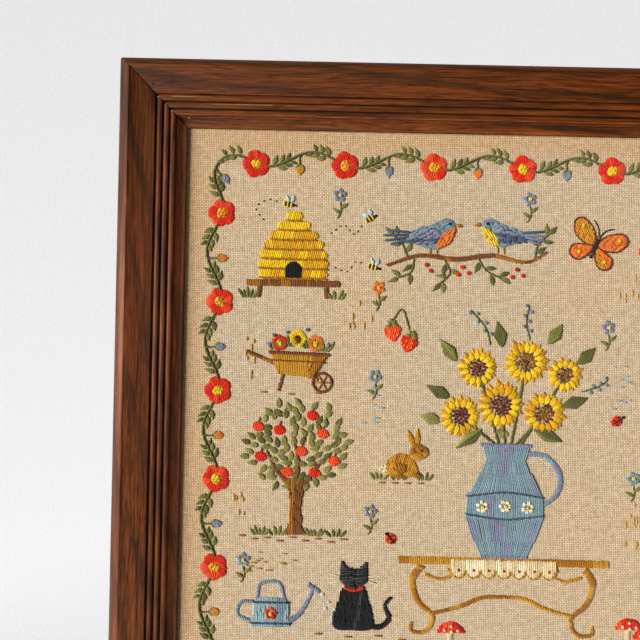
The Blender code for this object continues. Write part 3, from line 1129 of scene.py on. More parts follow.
    def blossom(self, centre, radius, dye, eye, turn=0.0):
        """A round flower: spoke stitches side by side, a lobed rim, and an eye of satin and knots.

        The rim's distance is the radius times 0.78 plus 0.22 times the root of the size of a cosine
        wave that has one hump for each petal. Dark stitches part the petals.
        """
        count = int(2 * math.pi * radius / 1.12)
        angle = 2 * math.pi * np.arange(count) / count
        rim = 0.78 + 0.22 * np.sqrt(np.abs(np.cos(BLOSSOM_PETALS * (angle - turn) / 2)))
        rim = rim * self.chance.normal(1, 0.014, count)
        near = np.where(np.arange(count) % 2, BLOSSOM_EYE * 0.8, BLOSSOM_EYE * 1.5)
        starts, ends = (centre + towards(angle) * (share * radius)[:, None] for share in (near, rim))
        self.stitch(starts, ends, dye, 1.4, self.chance.normal(0, 0.12, count))
        spoke = spokes(BLOSSOM_PETALS, turn + math.pi / BLOSSOM_PETALS) * radius
        shade = np.atleast_2d(dye)[0] * 0.72
        self.stitch(centre + spoke * BLOSSOM_EYE, centre + spoke * 0.76, shade, 1.0, lift=0.12)
        self.fill(arc(centre, radius * BLOSSOM_EYE, 0, 350), math.degrees(turn), eye, 1.3, lift=0.2)
        self.seeded_disc(centre, radius * BLOSSOM_EYE * 0.8, (eye, ORANGE), 1.8, lift=0.45)

    def daisy(self, centre, petals, reach, breadth, dye, knot, strands=3, turn=0.0, lift=0.0):
        """A small flower: petals with this inner and outer reach, round a yellow knot, which is
        given by its size and its height."""
        near, far = (centre + spokes(petals, turn) * share for share in reach)
        self.leaves(near, far, breadth, dye, strands, 1.3, lift)
        self.knots(centre, YELLOW, *knot)

    def tuft(self, place, blades, tall=9.0):
        """Blades of grass that spread from one place."""
        angle = np.radians(np.linspace(128, 52, blades) + self.chance.normal(0, 5, blades))
        tall = tall * self.chance.uniform(0.7, 1.1, blades)
        bases = place + np.linspace((-2.5, 0), (2.5, 0), blades)
        self.leaves(bases, bases + towards(angle) * tall[:, None], 2.0, (LEAF, MOSS), 2, 1.2)

    def sprig(self, path, leaf_long, pitch, dye):
        """A stem with leaves in turn on its two sides, and one at its end."""
        path = smooth(path)
        self.stem(path, MOSS, 1.25, 3.4)
        count = max(int(run_length(path) / pitch), 1)
        share = (np.arange(count) + 0.7) / count
        way, side = directions(at_share(path, np.linspace(0, 1, 60)))
        aside = at_share_of(side, share) * in_turn(count)
        bases = at_share(path, share) + aside * 0.8
        reach = at_share_of(way, share) * math.cos(LEAF_LEAN) + aside * math.sin(LEAF_LEAN)
        self.leaves(bases, bases + reach * leaf_long, leaf_long * 0.45, dye, 3)
        self.leaves(path[-1], path[-1] + way[-1] * leaf_long, leaf_long * 0.45, dye, 3)

    def make(self, material):
        """One mesh of all the strands.

        Round each strand's line runs a ring of points: its middle, plus the side direction times
        half the width and the cosine of the ring's angle, plus the upward direction times half the
        thickness and the sine. Each end is closed by one face.
        """
        cosine, sine = spokes(STRAND_SIDES, math.pi / 2).T
        points, quads, caps, dyes, twists = [], [], [], [], []
        base = 0
        for lines, height, width, dye in self.strands:
            count, stations = height.shape
            x = SIGHT_CORNER[0] + lines[..., 0] * MM
            z = SIGHT_CORNER[2] + lines[..., 1] * MM
            front = cloth_height(x - CENTRE[0], z - CENTRE[2]) + height * MM
            middle = np.stack([x, HIGH[1] - front, z], axis=-1)
            way = np.gradient(middle, axis=1)
            run = np.linalg.norm(np.diff(middle, axis=1), axis=-1)
            along = np.concatenate([np.zeros((count, 1)), np.cumsum(run, axis=1)], axis=1)
            along = along + self.chance.uniform(0, 0.01, (count, 1))
            way /= np.linalg.norm(way, axis=-1, keepdims=True)
            side = np.cross(way, (0.0, -1.0, 0.0))
            side /= np.linalg.norm(side, axis=-1, keepdims=True)
            over = np.cross(side, way) * STRAND_FLATNESS
            ring = side[:, :, None] * cosine[:, None] + over[:, :, None] * sine[:, None]
            ring = middle[:, :, None] + ring * (width * MM / 2)[..., None, None]
            points.append(ring.reshape(-1, 3))
            index = np.arange(ring[..., 0].size).reshape(count, stations, -1) + base
            following = np.roll(index, -1, axis=2)
            sides = (index[:, :-1], index[:, 1:], following[:, 1:], following[:, :-1])
            quads.append(np.stack(sides, axis=-1).reshape(-1, 4))
            caps += [index[:, 0], index[:, -1, ::-1]]
            colour = np.concatenate([dye, np.ones((count, 1))], axis=1)
            dyes.append(np.repeat(colour, stations * STRAND_SIDES, axis=0))
            twist = np.broadcast_arrays(along[..., None], cosine, sine)
            twists.append(np.stack(twist, axis=-1).reshape(-1, 3))
            base += index.size
        faces = [np.concatenate(quads), np.concatenate(caps)]
        piece = add_surface(self.name, np.concatenate(points), faces, material)
        add_attribute(piece, "dye", np.concatenate(dyes))
        add_attribute(piece, "twist", np.concatenate(twists))
        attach(piece, "root")
        return piece


def sew_border():
    """A vine round the cloth: a rounded rectangle that swings in and out by a sine wave.

    A red blossom sits on each inward swing, with leaves that get smaller away from it, and a bud
    on a stalk grows from each outward one.
    """
    left, right = BORDER_INSET + BORDER_CORNER, SIGHT_WIDTH - BORDER_INSET - BORDER_CORNER
    low, top = left, SIGHT_HEIGHT - BORDER_INSET - BORDER_CORNER
    corners = ((right, low), (right, top), (left, top), (left, low))
    arcs = [arc(corner, BORDER_CORNER, 90 * number - 90, 90 * number, 12)
            for number, corner in enumerate(corners)]
    loop = np.concatenate([*arcs, arcs[0][:1]])
    length = run_length(loop)
    waves = int(round(length / BORDER_WAVELENGTH))
    samples = np.linspace(0, 1, waves * 48 + 1)
    middle = at_share(loop, samples)
    swing = BORDER_SWING * np.sin(2 * math.pi * waves * samples)[:, None]
    vine = middle + directions(middle)[1] * swing
    way, inward = directions(vine)

    def on_vine(share):
        return at_share(vine, share % 1), at_share_of(way, share % 1), at_share_of(inward, share % 1)

    stems = Needlework("vine", 3)
    greenery = Needlework("vine_leaves", 4)
    heads = [Needlework(f"blossoms_{part}", 5 + part) for part in (1, 2)]
    crest = (np.arange(waves) + 0.25) / waves
    clear = BLOSSOM_RADIUS * 0.7 / length
    for start in crest:
        share = np.linspace(start + clear, start + 1 / waves - clear, 40)
        stems.stem(on_vine(share)[0], MOSS, 1.6)
    for number, place in enumerate(on_vine(crest)[0]):
        half = heads[number * 2 // waves]
        half.blossom(place, BLOSSOM_RADIUS, (RED, RED, SCARLET), YELLOW, turn=number * 1.3)
    for away, long, lean in ((12.0, 7.0, 40), (16.5, 6.2, 36), (20.5, 5.4, 34)):
        for forward, left_side in ((1, 1), (1, -1), (-1, 1), (-1, -1)):
            place, ahead, side = on_vine(crest + forward * (away + left_side * 0.8) / length)
            angle = math.radians(lean)
            reach = ahead * forward * math.cos(angle) + side * left_side * math.sin(angle)
            base = place + side * left_side * 1.1
            greenery.leaves(base, base + reach * long, long * 0.46, (LEAF, LEAF, MOSS), 3)
    for number, (place, ahead, side) in enumerate(zip(*on_vine(crest + 0.5 / waves))):
        foot = place + side * 7 + ahead * 0.5
        stems.stem(smooth([place, place + side * 3 + ahead, foot]), MOSS, 1.2, 3)
        dyes = (BLUE, LAVENDER) if number % 2 else (ORANGE, GOLD)
        greenery.leaves(foot, foot + side * 7.5, 5.6, dyes, 5, 1.25)
        apart = np.array([ahead, -ahead])
        cup = foot - side * 0.8 + apart * 0.5
        greenery.leaves(cup, cup + side * 4.4 + apart * 2.6, 2, LEAF, 2)
    return [stems, greenery, *heads]


def sew_bee(work, place, turn):
    """A bee: stripes across its back, a head knot and two pairs of wings."""

    def put(*points):
        return moved(points, place, turn=turn)

    stripe = np.linspace(-3, 3, 6)
    upper = np.stack([stripe, 2.0 * np.sqrt(1 - (stripe / 4.2) ** 2)], axis=1)
    for dye, part in ((YELLOW, upper[::2]), (BLACK, upper[1::2])):
        work.stitch(put(*part), put(*part * (1, -1)), dye, 1.2)
    work.knots(put((4.4, 0)), BLACK, 2.0)
    work.leaves(put((1.5, 1.5), (0, 1.5)), put((2.6, 6.6), (-2.8, 5.6)), 2.6, PALE, 3, 1.1, 0.3)


def sew_beehive(place):
    """A straw hive of stacked coils on a plank, with bees on dashed flights round it."""
    hive = Needlework("beehive", 21, place)
    rise = 6.4
    for row, half in enumerate((23, 23.5, 22.5, 20, 16, 11, 5.5)):
        up, reach = rise * (row + 0.5), half - rise / 2
        coil = [*arc((reach, up), rise / 2, -90, 90, 9), *arc((-reach, up), rise / 2, 90, 270, 9)]
        hive.fill(coil, 104 if row % 2 else 76, (YELLOW, YELLOW, CORN))
        seam = smooth([(1 - half, up - 3.2), (0, up - 3.6), (half - 1, up - 3.2)])
        hive.stem(seam, AMBER, 1.3, lift=0.35)
    hive.fill(arched(5.2, 0, 6, 5.5), 90, BLACK, lift=0.7)
    hive.ribbon(level_line(31, -3.2), 4.6, (BROWN, AMBER), slant=0.1)
    for side in (-1, 1):
        hive.ribbon(mirror([(22, -5.5), (23, -13)], side), 4.0, BROWN, slant=0.1)
    flights = (
        (((24, 30), (33, 36), (40, 30), (46, 38)), 30),
        (((-20, 38), (-26, 46), (-18, 52), (-9, 50)), -10),
        (((27, 8), (36, 5), (41, 12), (48, 10)), -15),
    )
    for route, turn in flights:
        path = smooth(route)
        hive.dashes(path, INK, 0.9, 1.8, 2.0)
        sew_bee(hive, path[-1] + towards(math.radians(turn)) * 5, turn)
    hive.tuft((-30, -14), 5)
    hive.tuft((29, -14), 4)
    return [hive]


def sew_bird(work, place, flip, back, breast, size=1.0):
    """A bird at rest: back, breast, folded wing, long tail, beak, eye and two legs."""

    def put(*points):
        return moved(points, place, size, flip=flip)

    tail = put((-12, 2.5), (-13, 1), (-13, -0.5), (-12, -2))
    tail_tips = put((-29, 4), (-31, 0.5), (-30, -3), (-26, -5.5))
    work.stitch(tail, tail_tips, (back[0], INDIGO), 1.7, lift=0.2)
    work.stitch(put((1, -7), (5, -7)), put((0, -13.5), (5, -13.5)), AMBER, 1.1)
    body = ((-15, 0), (-8, 5.5), (1, 8), (7, 11), (12, 12.6), (16.5, 10.5), (17.5, 6), (15.5, 0),
            (10, -6), (2, -8.2), (-7, -5.5))
    front = ((17.2, 7), (12, 4.5), (7, 0), (4, -7.6), (10, -6), (15.3, 0))
    wing = ((5.5, 5), (8, 0), (3, -4.5), (-6, -5), (-17, -3.5), (-9, 1.5), (-2, 5))
    parts = ((body, 25, back, 9, 0), (front, 55, breast, 9, 0.5), (wing, 8, (LAVENDER, INDIGO), 8, 0.8))
    for points, angle, dyes, longest, lift in parts:
        work.fill_smooth(put(*points), 180 - angle if flip else angle, dyes, longest, lift)
    work.leaves(put((16.8, 8.5)), put((22.5, 7.2)), 2.6, AMBER, 3, 1.2, 0.2)
    work.knots(put((13, 8.8)), BLACK, 2.1, 0.7)


def sew_birds(place):
    """Two birds that face each other on a berry branch."""
    perch = Needlework("birds", 31, place)
    branch = smooth([(-52, -20), (-30, -13), (-6, -15), (18, -12), (40, -16), (54, -9)])
    perch.ribbon(branch, (2.2, 3.4, 1.8), (BROWN, AMBER), slant=0.8)
    twigs = (
        ((-38, -15), (-42, -6), (-48, 0)), ((-14, -15), (-10, -24), (-16, -31)),
        ((8, -13), (14, -22), (24, -27)), ((46, -13), (48, -4), (55, 3)),
        ((-34, -15), (-36, -24), (-44, -28)),
    )
    for twig in twigs:
        perch.sprig(twig, 7.5, 4.6, (LEAF, LEAF, MOSS))
    berries = [(-2, -20), (2, -24), (-5, -25), (34, -21), (38, -25), (31, -26), (-26, -19), (-23, -23)]
    perch.knots(berries, RED, 3.2, 0.1)
    sew_bird(perch, (-24, -0.5), False, (BLUE, BLUE, LAVENDER), (ORANGE, GOLD))
    sew_bird(perch, (26, 1), True, (LAVENDER, BLUE), (YELLOW, CORN), 0.92)
    return [perch]


def sew_butterfly(name, place, turn, size, dyes, seed):
    """A butterfly: four outlined wings with spots, a striped body and two feelers."""
    fly = Needlework(name, seed, place)
    upper = ((1, 1), (5, 9), (14, 14), (19, 10), (15, 2), (6, -1))
    lower = ((1, -1), (8, -2), (14, -5), (14, -11), (8, -13), (3, -8))
    for flip in (False, True):
        how = {"size": size, "turn": turn, "flip": flip}
        for wing, angle in ((upper, 40), (lower, -38)):
            shape = moved(smooth(wing, closed=True), **how)
            fly.fill(shape, turn + (180 - angle if flip else angle), dyes, longest=8)
            fly.stem([*shape, shape[0]], MAROON, 1.1, 3, 0.3)
        fly.knots(moved([(13, 9), (9, -8)], **how), YELLOW, 2.6, 0.8)
        fly.stem(moved(smooth([(0.5, 7), (3, 12), (7, 15)]), **how), BLACK, 0.9, 3)
    body = moved([(0, -9), (0, 7)], size=size, turn=turn)
    fly.ribbon(body, (1.6, 3.4, 2.2), (BLACK, BROWN), slant=0.1, lift=0.6)
    return [fly]


def sew_tree(place):
    """An apple tree: a satin trunk, boughs, a round crown of single leaves, and red apples."""
    trunk = Needlework("tree", 41, place)
    crown = Needlework("tree_leaves", 42, place)
    left = smooth([(-9, 0), (-5.5, 5), (-4, 14), (-4.5, 26), (-8, 38)])
    right = smooth([(9, 0), (5, 5), (4, 14), (4.5, 26), (8, 38)])
    trunk.fill([*left, *right[::-1]], 88, (BROWN, BROWN, AMBER), longest=11)
    for bough in (((-5, 34), (-14, 44), (-20, 56)), ((5, 34), (13, 45), (21, 54)), ((0, 36), (1, 50), (-3, 66))):
        trunk.ribbon(smooth(bough), (3.8, 2.6, 1.4), BROWN, slant=0.9)
    spot = packed(118, (36, 29)) + (0, 60)
    spot = spot + crown.chance.normal(0, 0.8, spot.shape)
    apples = np.array([(-24, 52), (-12, 70), (3, 56), (17, 68), (25, 50), (-6, 42), (10, 80), (-26, 72), (12, 42)])
    clear = np.linalg.norm(spot[:, None] - apples, axis=-1).min(axis=1) > 5.5
    outward = spot - (0, 46)
    angle = np.arctan2(outward[:, 1], outward[:, 0]) + crown.chance.normal(0, 0.45, len(spot))
    spot, way = spot[clear], towards(angle)[clear]
    crown.leaves(spot - way * 3.6, spot + way * 3.9, 3.9, (LEAF, LEAF, MOSS, OLIVE), 4, 1.3)
    for apple in apples:
        crown.fill(arc(apple, (3.9, 3.6), 0, 345), 75, (RED, SCARLET), 1.3, 20, 0.2)
        crown.stitch(apple + (0, 3), apple + (1.2, 6.2), BROWN, 1.0, lift=0.4)
    for low, along in zip((-1, -3, -2, -4, -1.5, -3.5, -2, -4, -2), np.linspace(-34, 34, 9)):
        trunk.ground(AMBER, (along - 4, along + 5, low), dash=5.5)
    for along, blades in ((-24, 5), (-12, 4), (13, 5), (27, 4)):
        trunk.tuft((along, -1), blades, 8)
    return [trunk, crown]


def sew_sunflower(heads, eyes, place, radius, turn):
    """A sunflower: a ring of gold petals, a ring of yellow ones between them, and a brown eye."""
    petals = int(radius * 0.72) + 4
    rings = (
        (0.46, 1.0, 0.5, (CORN, GOLD), 0.0),
        (0.38, 0.88, 0.0, (YELLOW, YELLOW, CORN), 0.35),
    )
    breadth = 2 * math.pi * radius * 0.7 / petals * 0.8
    for near, far, shift, dyes, lift in rings:
        spoke = spokes(petals, turn + 2 * math.pi * shift / petals) * radius
        reach = far * heads.chance.normal(1, 0.05, (petals, 1))
        heads.leaves(place + spoke * near, place + spoke * reach, breadth, dyes, 4, 1.35, lift)
    eyes.seeded_disc(place, radius * 0.40, (BROWN, AMBER, MAROON), 2.2, 0.35)


def sew_jug(place):
    """A blue jug of sunflowers, with sprigs of blue flowers and broad leaves."""
    jug = Needlework("jug", 51, place)
    heads = Needlework("sunflowers", 52, place)
    eyes = Needlework("sunflower_eyes", 53, place)
    levels = ((0, 15), (9, 20), (24, 26), (40, 25), (54, 17), (63, 12.5), (72, 16))
    for (low, low_half), (high, high_half) in zip(levels, levels[1:]):
        foot, top = level_line(low_half, low - 1.2), level_line(high_half, high + 1.2)
        jug.fan(foot, top, (BLUE, BLUE, BLUE, LAVENDER), longest=30)
    jug.ribbon(level_line(15.5, -1), 3.0, LAVENDER, slant=0.1, lift=0.3)
    jug.ribbon(level_line(17, 73), 3.2, LAVENDER, slant=0.1, lift=0.3)
    for half, up, middle in ((25.5, 27, 24), (25, 39, 42)):
        jug.stem(smooth([(-half, up), (0, middle), (half, up)]), INDIGO, 1.2, lift=0.9)
    handle = smooth([(14, 68), (27, 66), (36, 55), (35, 42), (25, 33)])
    jug.ribbon(handle, (3.6, 4.6, 3.4), (BLUE, LAVENDER), slant=0.2)
    for along in (-15, 0, 15):
        middle = (along, 33 - abs(along) * 0.05)
        jug.daisy(middle, 6, (1.2, 5), 2.6, CREAM, (2.6, 1.3), 2, along, 1.0)
    flowers = (
        (-31, 92, 14.5), (-4, 100, 16.5), (25, 95, 15.0), (-20, 124, 14.0), (12, 129, 15.5),
        (38, 121, 12.5),
    )
    broad = (
        ((-16, 84), (-34, 70)), ((-38, 104), (-54, 112)), ((-34, 128), (-46, 143)), ((18, 84), (38, 76)),
        ((36, 100), (54, 106)), ((46, 128), (58, 140)), ((-4, 138), (-8, 156)), ((26, 141), (36, 155)),
        ((-2, 84), (-4, 78)), ((-44, 88), (-58, 92)),
    )
    for along, up, _ in flowers:
        stalk = smooth([(along * 0.25, 74), (along * 0.6, 74 + (up - 74) * 0.45), (along, up)])
        jug.stem(stalk, MOSS, 1.7)
    jug.leaves(*np.transpose(broad, (1, 0, 2)), 9.0, (LEAF, MOSS, OLIVE), 6, 1.5)
    for number, (along, up, radius) in enumerate(flowers):
        sew_sunflower(heads, eyes, (along, up), radius, number * 0.7)
    for start, end, lean in (((-12, 140), (-25, 162), 3), ((14, 144), (13, 166), -2), ((50, 110), (66, 118), 3)):
        line = smooth([start, np.add(start, end) / 2 + (lean, 0), end])
        eyes.stem(line, MOSS, 1.1, 3)
        spots = at_share(line, np.linspace(0.25, 1, 6))
        eyes.knots(spots + directions(spots)[1] * in_turn(6) * 1.8, (BLUE, LAVENDER), 2.8)
    return [jug, heads, eyes]


def sew_table(place):
    """A golden table with curled legs, and a scalloped cream runner with red berries."""
    table = Needlework("table", 61, place)
    wood = (AMBER, GOLD)
    table.ribbon(level_line(70, -2.6), 5.2, wood, slant=0.1)
    leg = smooth([(54, -6), (60, -16), (56, -30), (46, -40), (50, -50), (60, -50), (60, -44)])
    brace = smooth([(0, -26), (14, -27), (28, -33), (46, -38)])
    curl = smooth([(52, -12), (42, -15), (34, -12), (37, -8)])
    parts = ((leg, (5.5, 3.6, 2.6), wood), (brace, (2.6, 3.2, 2.6), wood), (curl, (2.8, 2.4, 1.8), GOLD))
    for side in (1, -1):
        for path, breadth, dyes in parts:
            table.ribbon(mirror(path, side), breadth, dyes, slant=0.4)
    hem = []
    for middle in range(-30, 31, 10):
        hem += [*arc((middle, -6), (5, 7.5), 180, 360, 12)]
        scallop = [*hem[-12:], (middle + 4.8, -1), (middle - 4.8, -1)]
        table.fill(scallop, 90, (CREAM, CREAM, BUFF), longest=20, lift=0.5)
        table.knots((middle, -8), RED, 2.2, 1.1)
    table.stem(hem, GOLD, 1.1, 3, 0.7)
    return [table]


def sew_cat(place):
    """A black cat that sits with its back to us, and its tail round it."""
    cat = Needlework("cat", 71, place)
    tail = smooth([(8, 3), (18, 2), (24, 8), (21, 16), (25, 22)])
    cat.ribbon(tail, (4.2, 4.0, 2.6), BLACK, slant=0.3)
    body = [(-12, 0), (-13.5, 8), (-10, 20), (-6.5, 28), (6.5, 28), (10, 20), (13.5, 8), (12, 0), (0, -1)]
    cat.fill_smooth(body, 84, (BLACK, BLACK, INK), 12)
    head = [(-9, 32), (-9.5, 37), (-8.5, 45.5), (-3.5, 41.5), (3.5, 41.5), (8.5, 45.5), (9.5, 37), (9, 32), (0, 27)]
    cat.fill(smooth(head, closed=True, steps=5), 8, (BLACK, INK), longest=10, lift=0.4)
    cat.ribbon(smooth([(-6.6, 28.3), (0, 26.6), (6.6, 28.3)]), 2.4, RED, slant=0.1, lift=1.0)
    for side in (1, -1):
        roots = mirror([(8, 35), (8, 34), (8, 33)], side)
        cat.stitch(roots, mirror([(17, 37), (17.5, 33.5), (16, 30.5)], side), CREAM, 0.8)
    rows = ((-26, -12, -3.5), (-6, 8, -5), (14, 28, -4), (30, 44, -6))
    cat.ground(AMBER, *rows, width=1.3, dash=6, gap=2.5)
    return [cat]


def sew_can(place):
    """A watering can: banded body, spout with a rose, two handles and drops of water."""
    can = Needlework("watering_can", 81, place)
    can.fill([(-13, 0), (-11, 20), (11, 20), (13, 0)], 90, (BLUE, BLUE, PALE_BLUE), longest=11)
    spout = smooth([(11, 4), (19, 9), (25, 19), (28, 26)])
    can.ribbon(spout, (4.5, 3.2, 2.6), (BLUE, LAVENDER), slant=0.3)
    can.ribbon([(24.5, 29.5), (32, 24.5)], 3.4, LAVENDER, slant=0.1, lift=0.3)
    for handle in (((-11, 17), (-20, 16), (-22, 8), (-13, 4)), ((-9, 20), (-7, 29), (5, 30), (9, 20))):
        can.ribbon(smooth(handle), 2.6, (LAVENDER, BLUE), slant=0.3)
    for up, half in ((3, 13), (17, 11.8)):
        can.stem(level_line(half, up), INDIGO, 1.2, lift=0.9)
    can.daisy((0, 10), 5, (1.2, 5), 3.4, (RED, SCARLET), (2.8, 1.3), turn=0.3, lift=0.9)
    drops = np.array([(34, 24), (38, 19), (36, 15), (42, 14), (40, 9)])
    can.leaves(drops, drops + (1.2, -3.2), 1.9, PALE, 2, 1.1)
    return [can]


def sew_cottage(place):
    """A cottage with a red roof, smoke, windows, a door under a rose arch, and a path and fence."""
    walls = Needlework("cottage", 91, place)
    roof = Needlework("cottage_roof", 92, place)
    walls.fill([(-38, 0), (-38, 36), (38, 36), (38, 0)], 0, (CREAM, BUFF, CREAM), longest=13)
    for row in range(5):
        eave = level_line(44 - row * 5.2, 34 + row * 6)
        ridge = level_line(44 - (row + 1) * 5.2, 41 + row * 6)
        roof.fan(eave, ridge, (RUST, SCARLET, ORANGE) if row % 2 else (RUST, MAROON, SCARLET), lift=0.5)
    roof.fill([(16, 56), (16, 74), (26, 74), (26, 52)], 0, (MAROON, RUST), lift=0.9)
    roof.ribbon([(14, 75), (28, 75)], 3, BROWN, slant=0.1, lift=1.0)
    smoke = smooth([(21, 80), (26, 87), (20, 94), (27, 101), (34, 104)])
    roof.dashes(smoke, PALE_BLUE, 1.4, 3.2, 2.0)
    walls.fill(arched(6.5, 0, 18, 6), 90, (BLUE, INDIGO), lift=0.8)
    walls.knots((4, 11), YELLOW, 2, 1.4)
    for along in (-25, 25):
        left, right = along - 6, along + 6
        pane = [(left, 12), (left, 25), (right, 25), (right, 12)]
        walls.fill(pane, 90, (PALE, PALE_BLUE), lift=0.7)
        walls.stem([*pane, pane[0]], BROWN, 1.2, 3.2, 1.1)
        walls.stem([(along, 12), (along, 25)], BROWN, 0.9, 3.2, 1.2)
        walls.ribbon([(left - 2, 10), (right + 2, 10)], 2.6, LEAF, slant=0.2, lift=0.9)
        walls.knots(np.linspace((left - 1, 11.5), (right + 1, 11.5), 6), (RED, YELLOW), 2.4, 1.6)
    for side in (-1, 1):
        walls.sprig(mirror([(10, 0), (11, 14), (7, 26), (0, 30)], side), 4.6, 3.4, LEAF)
    walls.knots([(-12, 8), (-9, 20), (-3, 30), (4, 29), (10, 20), (12, 9)], RED, 3, 0.8)
    for side in (1, -1):
        edge = smooth([(6, -2), (9, -12), (18, -22), (22, -32)])
        walls.dashes(mirror(edge, side), AMBER, 1.4, 4, 2)
        for along in (42, 50, 58):
            walls.ribbon([(along * side, -3), (along * side, 12)], 2.4, BUFF, slant=0.1)
        for up in (2, 8):
            walls.stem([(40 * side, up), (60 * side, up)], BUFF, 1.4, lift=0.6)
        for along in (40, 47, 55):
            walls.tuft((along * side, -4), 4, 7)
    return [walls, roof]


def sew_basket(place):
    """A hanging basket of flowers on three cords."""
    basket = Needlework("basket", 101, place)
    for knot in ((-18, 6), (18, 6), (0, 8)):
        basket.stem([(0, 34), knot], BROWN, 1.1)
    for row, half in enumerate((18, 16, 13, 9)):
        dyes, slant = ((AMBER, BROWN), 0.5) if row % 2 else ((GOLD, AMBER), -0.5)
        basket.ribbon(level_line(half, -row * 4.4), 4.0, dyes, slant)
    for along, up, radius, dye in ((-11, 8, 7, RED), (2, 11, 7.5, ORANGE), (13, 7, 6.5, LAVENDER)):
        basket.blossom((along, up), radius, dye, YELLOW, turn=along)
    trails = (((-17, 2), (-27, -12)), ((17, 2), (26, -13)), ((-5, 14), (-14, 22)), ((8, 15), (16, 23)))
    for start, end in trails:
        bend = np.add(start, end) / 2 + ((end[0] - start[0]) * 0.2, 3)
        basket.sprig([start, bend, end], 5.5, 3.8, (LEAF, MOSS))
    return [basket]


def sew_sheep(place):
    """A sheep of cream knots on short legs, in grass, with a duck beside it."""
    flock = Needlework("sheep_and_duck", 111, place)
    for along in (-9, 8):
        flock.ribbon([(along, 0), (along, 10)], 2.6, INK, slant=0.1)
    flock.knots(packed(110, (16, 9.5)) + (0, 17), (CREAM, BUFF, CREAM), 2.9, 0.3)
    face = [(-15, 20), (-19, 25), (-24, 22), (-25, 15), (-21, 12), (-17, 15)]
    flock.fill_smooth(face, 60, (BLACK, INK), lift=0.9)
    flock.leaves((-17, 24), (-12, 26), 2.6, INK, 3, 1.2, 1.0)
    for along in (-22, -12, 2, 14, 24):
        flock.tuft((along, -2), 4, 7)
    flock.at(flock.place + (62, 2))
    body = [(-15, 14), (-13, 5), (-4, 1), (8, 3), (15, 13), (9, 12), (2, 14), (-6, 12)]
    flock.fill_smooth(body, 12, (YELLOW, CORN), 8)
    flock.fill(arc((-13, 20), (6, 6.5), 0, 350), 60, (YELLOW, CORN), lift=0.2)
    flock.leaves((-18, 20), (-25, 18), 3.4, ORANGE, 3, 1.4, 0.3)
    flock.knots((-15, 22), BLACK, 1.9, 0.9)
    flock.leaves((5, 11), (-7, 7), 6, GOLD, 4, 1.4, 0.6)
    flock.ground(PALE_BLUE, (-22, 22, -1), (-17, 17, -4), (-20, 20, -7))
    return [flock]


def sew_hollyhocks(place):
    """Two tall stalks of flowers that get smaller towards the tip, with broad leaves at the foot."""
    hollyhocks = Needlework("hollyhocks", 171, place)
    stalks = (((0, 0), (-1, 30), (0, 66), (LAVENDER, BLUE)), ((9, -1), (11, 40), (9, 84), (RED, SCARLET)))
    for *route, dyes in stalks:
        stalk = smooth(route)
        hollyhocks.stem(stalk, MOSS, 1.5)
        count = int(run_length(stalk) / 9.0)
        middles = at_share(stalk, np.linspace(0.26, 0.90, count))
        sides = in_turn(count)[:, 0] * 1.3
        for middle, aside, radius in zip(middles, sides, np.linspace(5.2, 2.9, count)):
            hollyhocks.blossom(middle + (aside, 0), radius, dyes, YELLOW, aside + radius)
        hollyhocks.knots(at_share(stalk, (0.96, 1.0)), dyes[0], 2.2, 0.3)
        tips = stalk[0] + [(-8, 7), (8, 6), (-6.5, 14), (6.5, 13)]
        hollyhocks.leaves(stalk[0] + (0, 2), tips, 4.6, (LEAF, MOSS))
    return [hollyhocks]


def sew_dragonfly(place, turn):
    """A dragonfly: a slim body, a round head and two pairs of narrow wings."""
    fly = Needlework("dragonfly", 181, place)
    body = moved([(-13, 0), (5, 0)], turn=turn)
    fly.ribbon(body, (1.3, 1.7, 2.8), (INDIGO, BLUE), slant=0.1, lift=0.5)
    fly.knots(moved([(6.8, 0)], turn=turn), INDIGO, 3.0, 0.5)
    for up in (1, -1):
        roots = moved([(3, up), (0.5, up)], turn=turn)
        tips = moved([(7, 14 * up), (-4, 13 * up)], turn=turn)
        fly.leaves(roots, tips, 3.8, (PALE_BLUE, BLUE), 4, 1.2, 0.2)
    return [fly]


def sew_hen(place):
    """A brown hen with a red comb, and two yellow chicks."""
    hen = Needlework("hen", 191, place)
    body = [(-9, 5), (-13, 13), (-8, 11), (-2, 9), (3, 10), (5, 16), (9, 17), (10, 12), (8, 5), (3, 1), (-4, 1)]
    hen.fill_smooth(body, 35, (RUST, BROWN), 9)
    hen.leaves((4, 7), (-7, 7.5), 5.0, AMBER, 4, 1.3, 0.7)
    hen.knots([(5, 18), (7.2, 19), (9.2, 18)], RED, 2.2, 0.3)
    hen.leaves((9.6, 14.5), (13.5, 13.6), 2.2, GOLD, 2, 1.2)
    hen.knots((8, 14.8), BLACK, 1.6, 0.8)
    hen.stitch([(-1, 0.5), (3, 0.5)], [(-1, -4), (3.6, -4)], GOLD, 1.1)
    for along in (15, 24):
        hen.seeded_disc((along, 0.5), 2.8, (YELLOW, CORN))
        hen.seeded_disc((along + 2.6, 3.8), 1.6, YELLOW, lift=0.2)
        hen.stitch((along + 4.6, 3.6), (along + 6.4, 3.2), ORANGE, 1.0)
    for along in (-12, 6, 19):
        hen.tuft((along, -5), 3, 5.5)
    hen.ground(AMBER, (-10, 30, -6.5))
    return [hen]


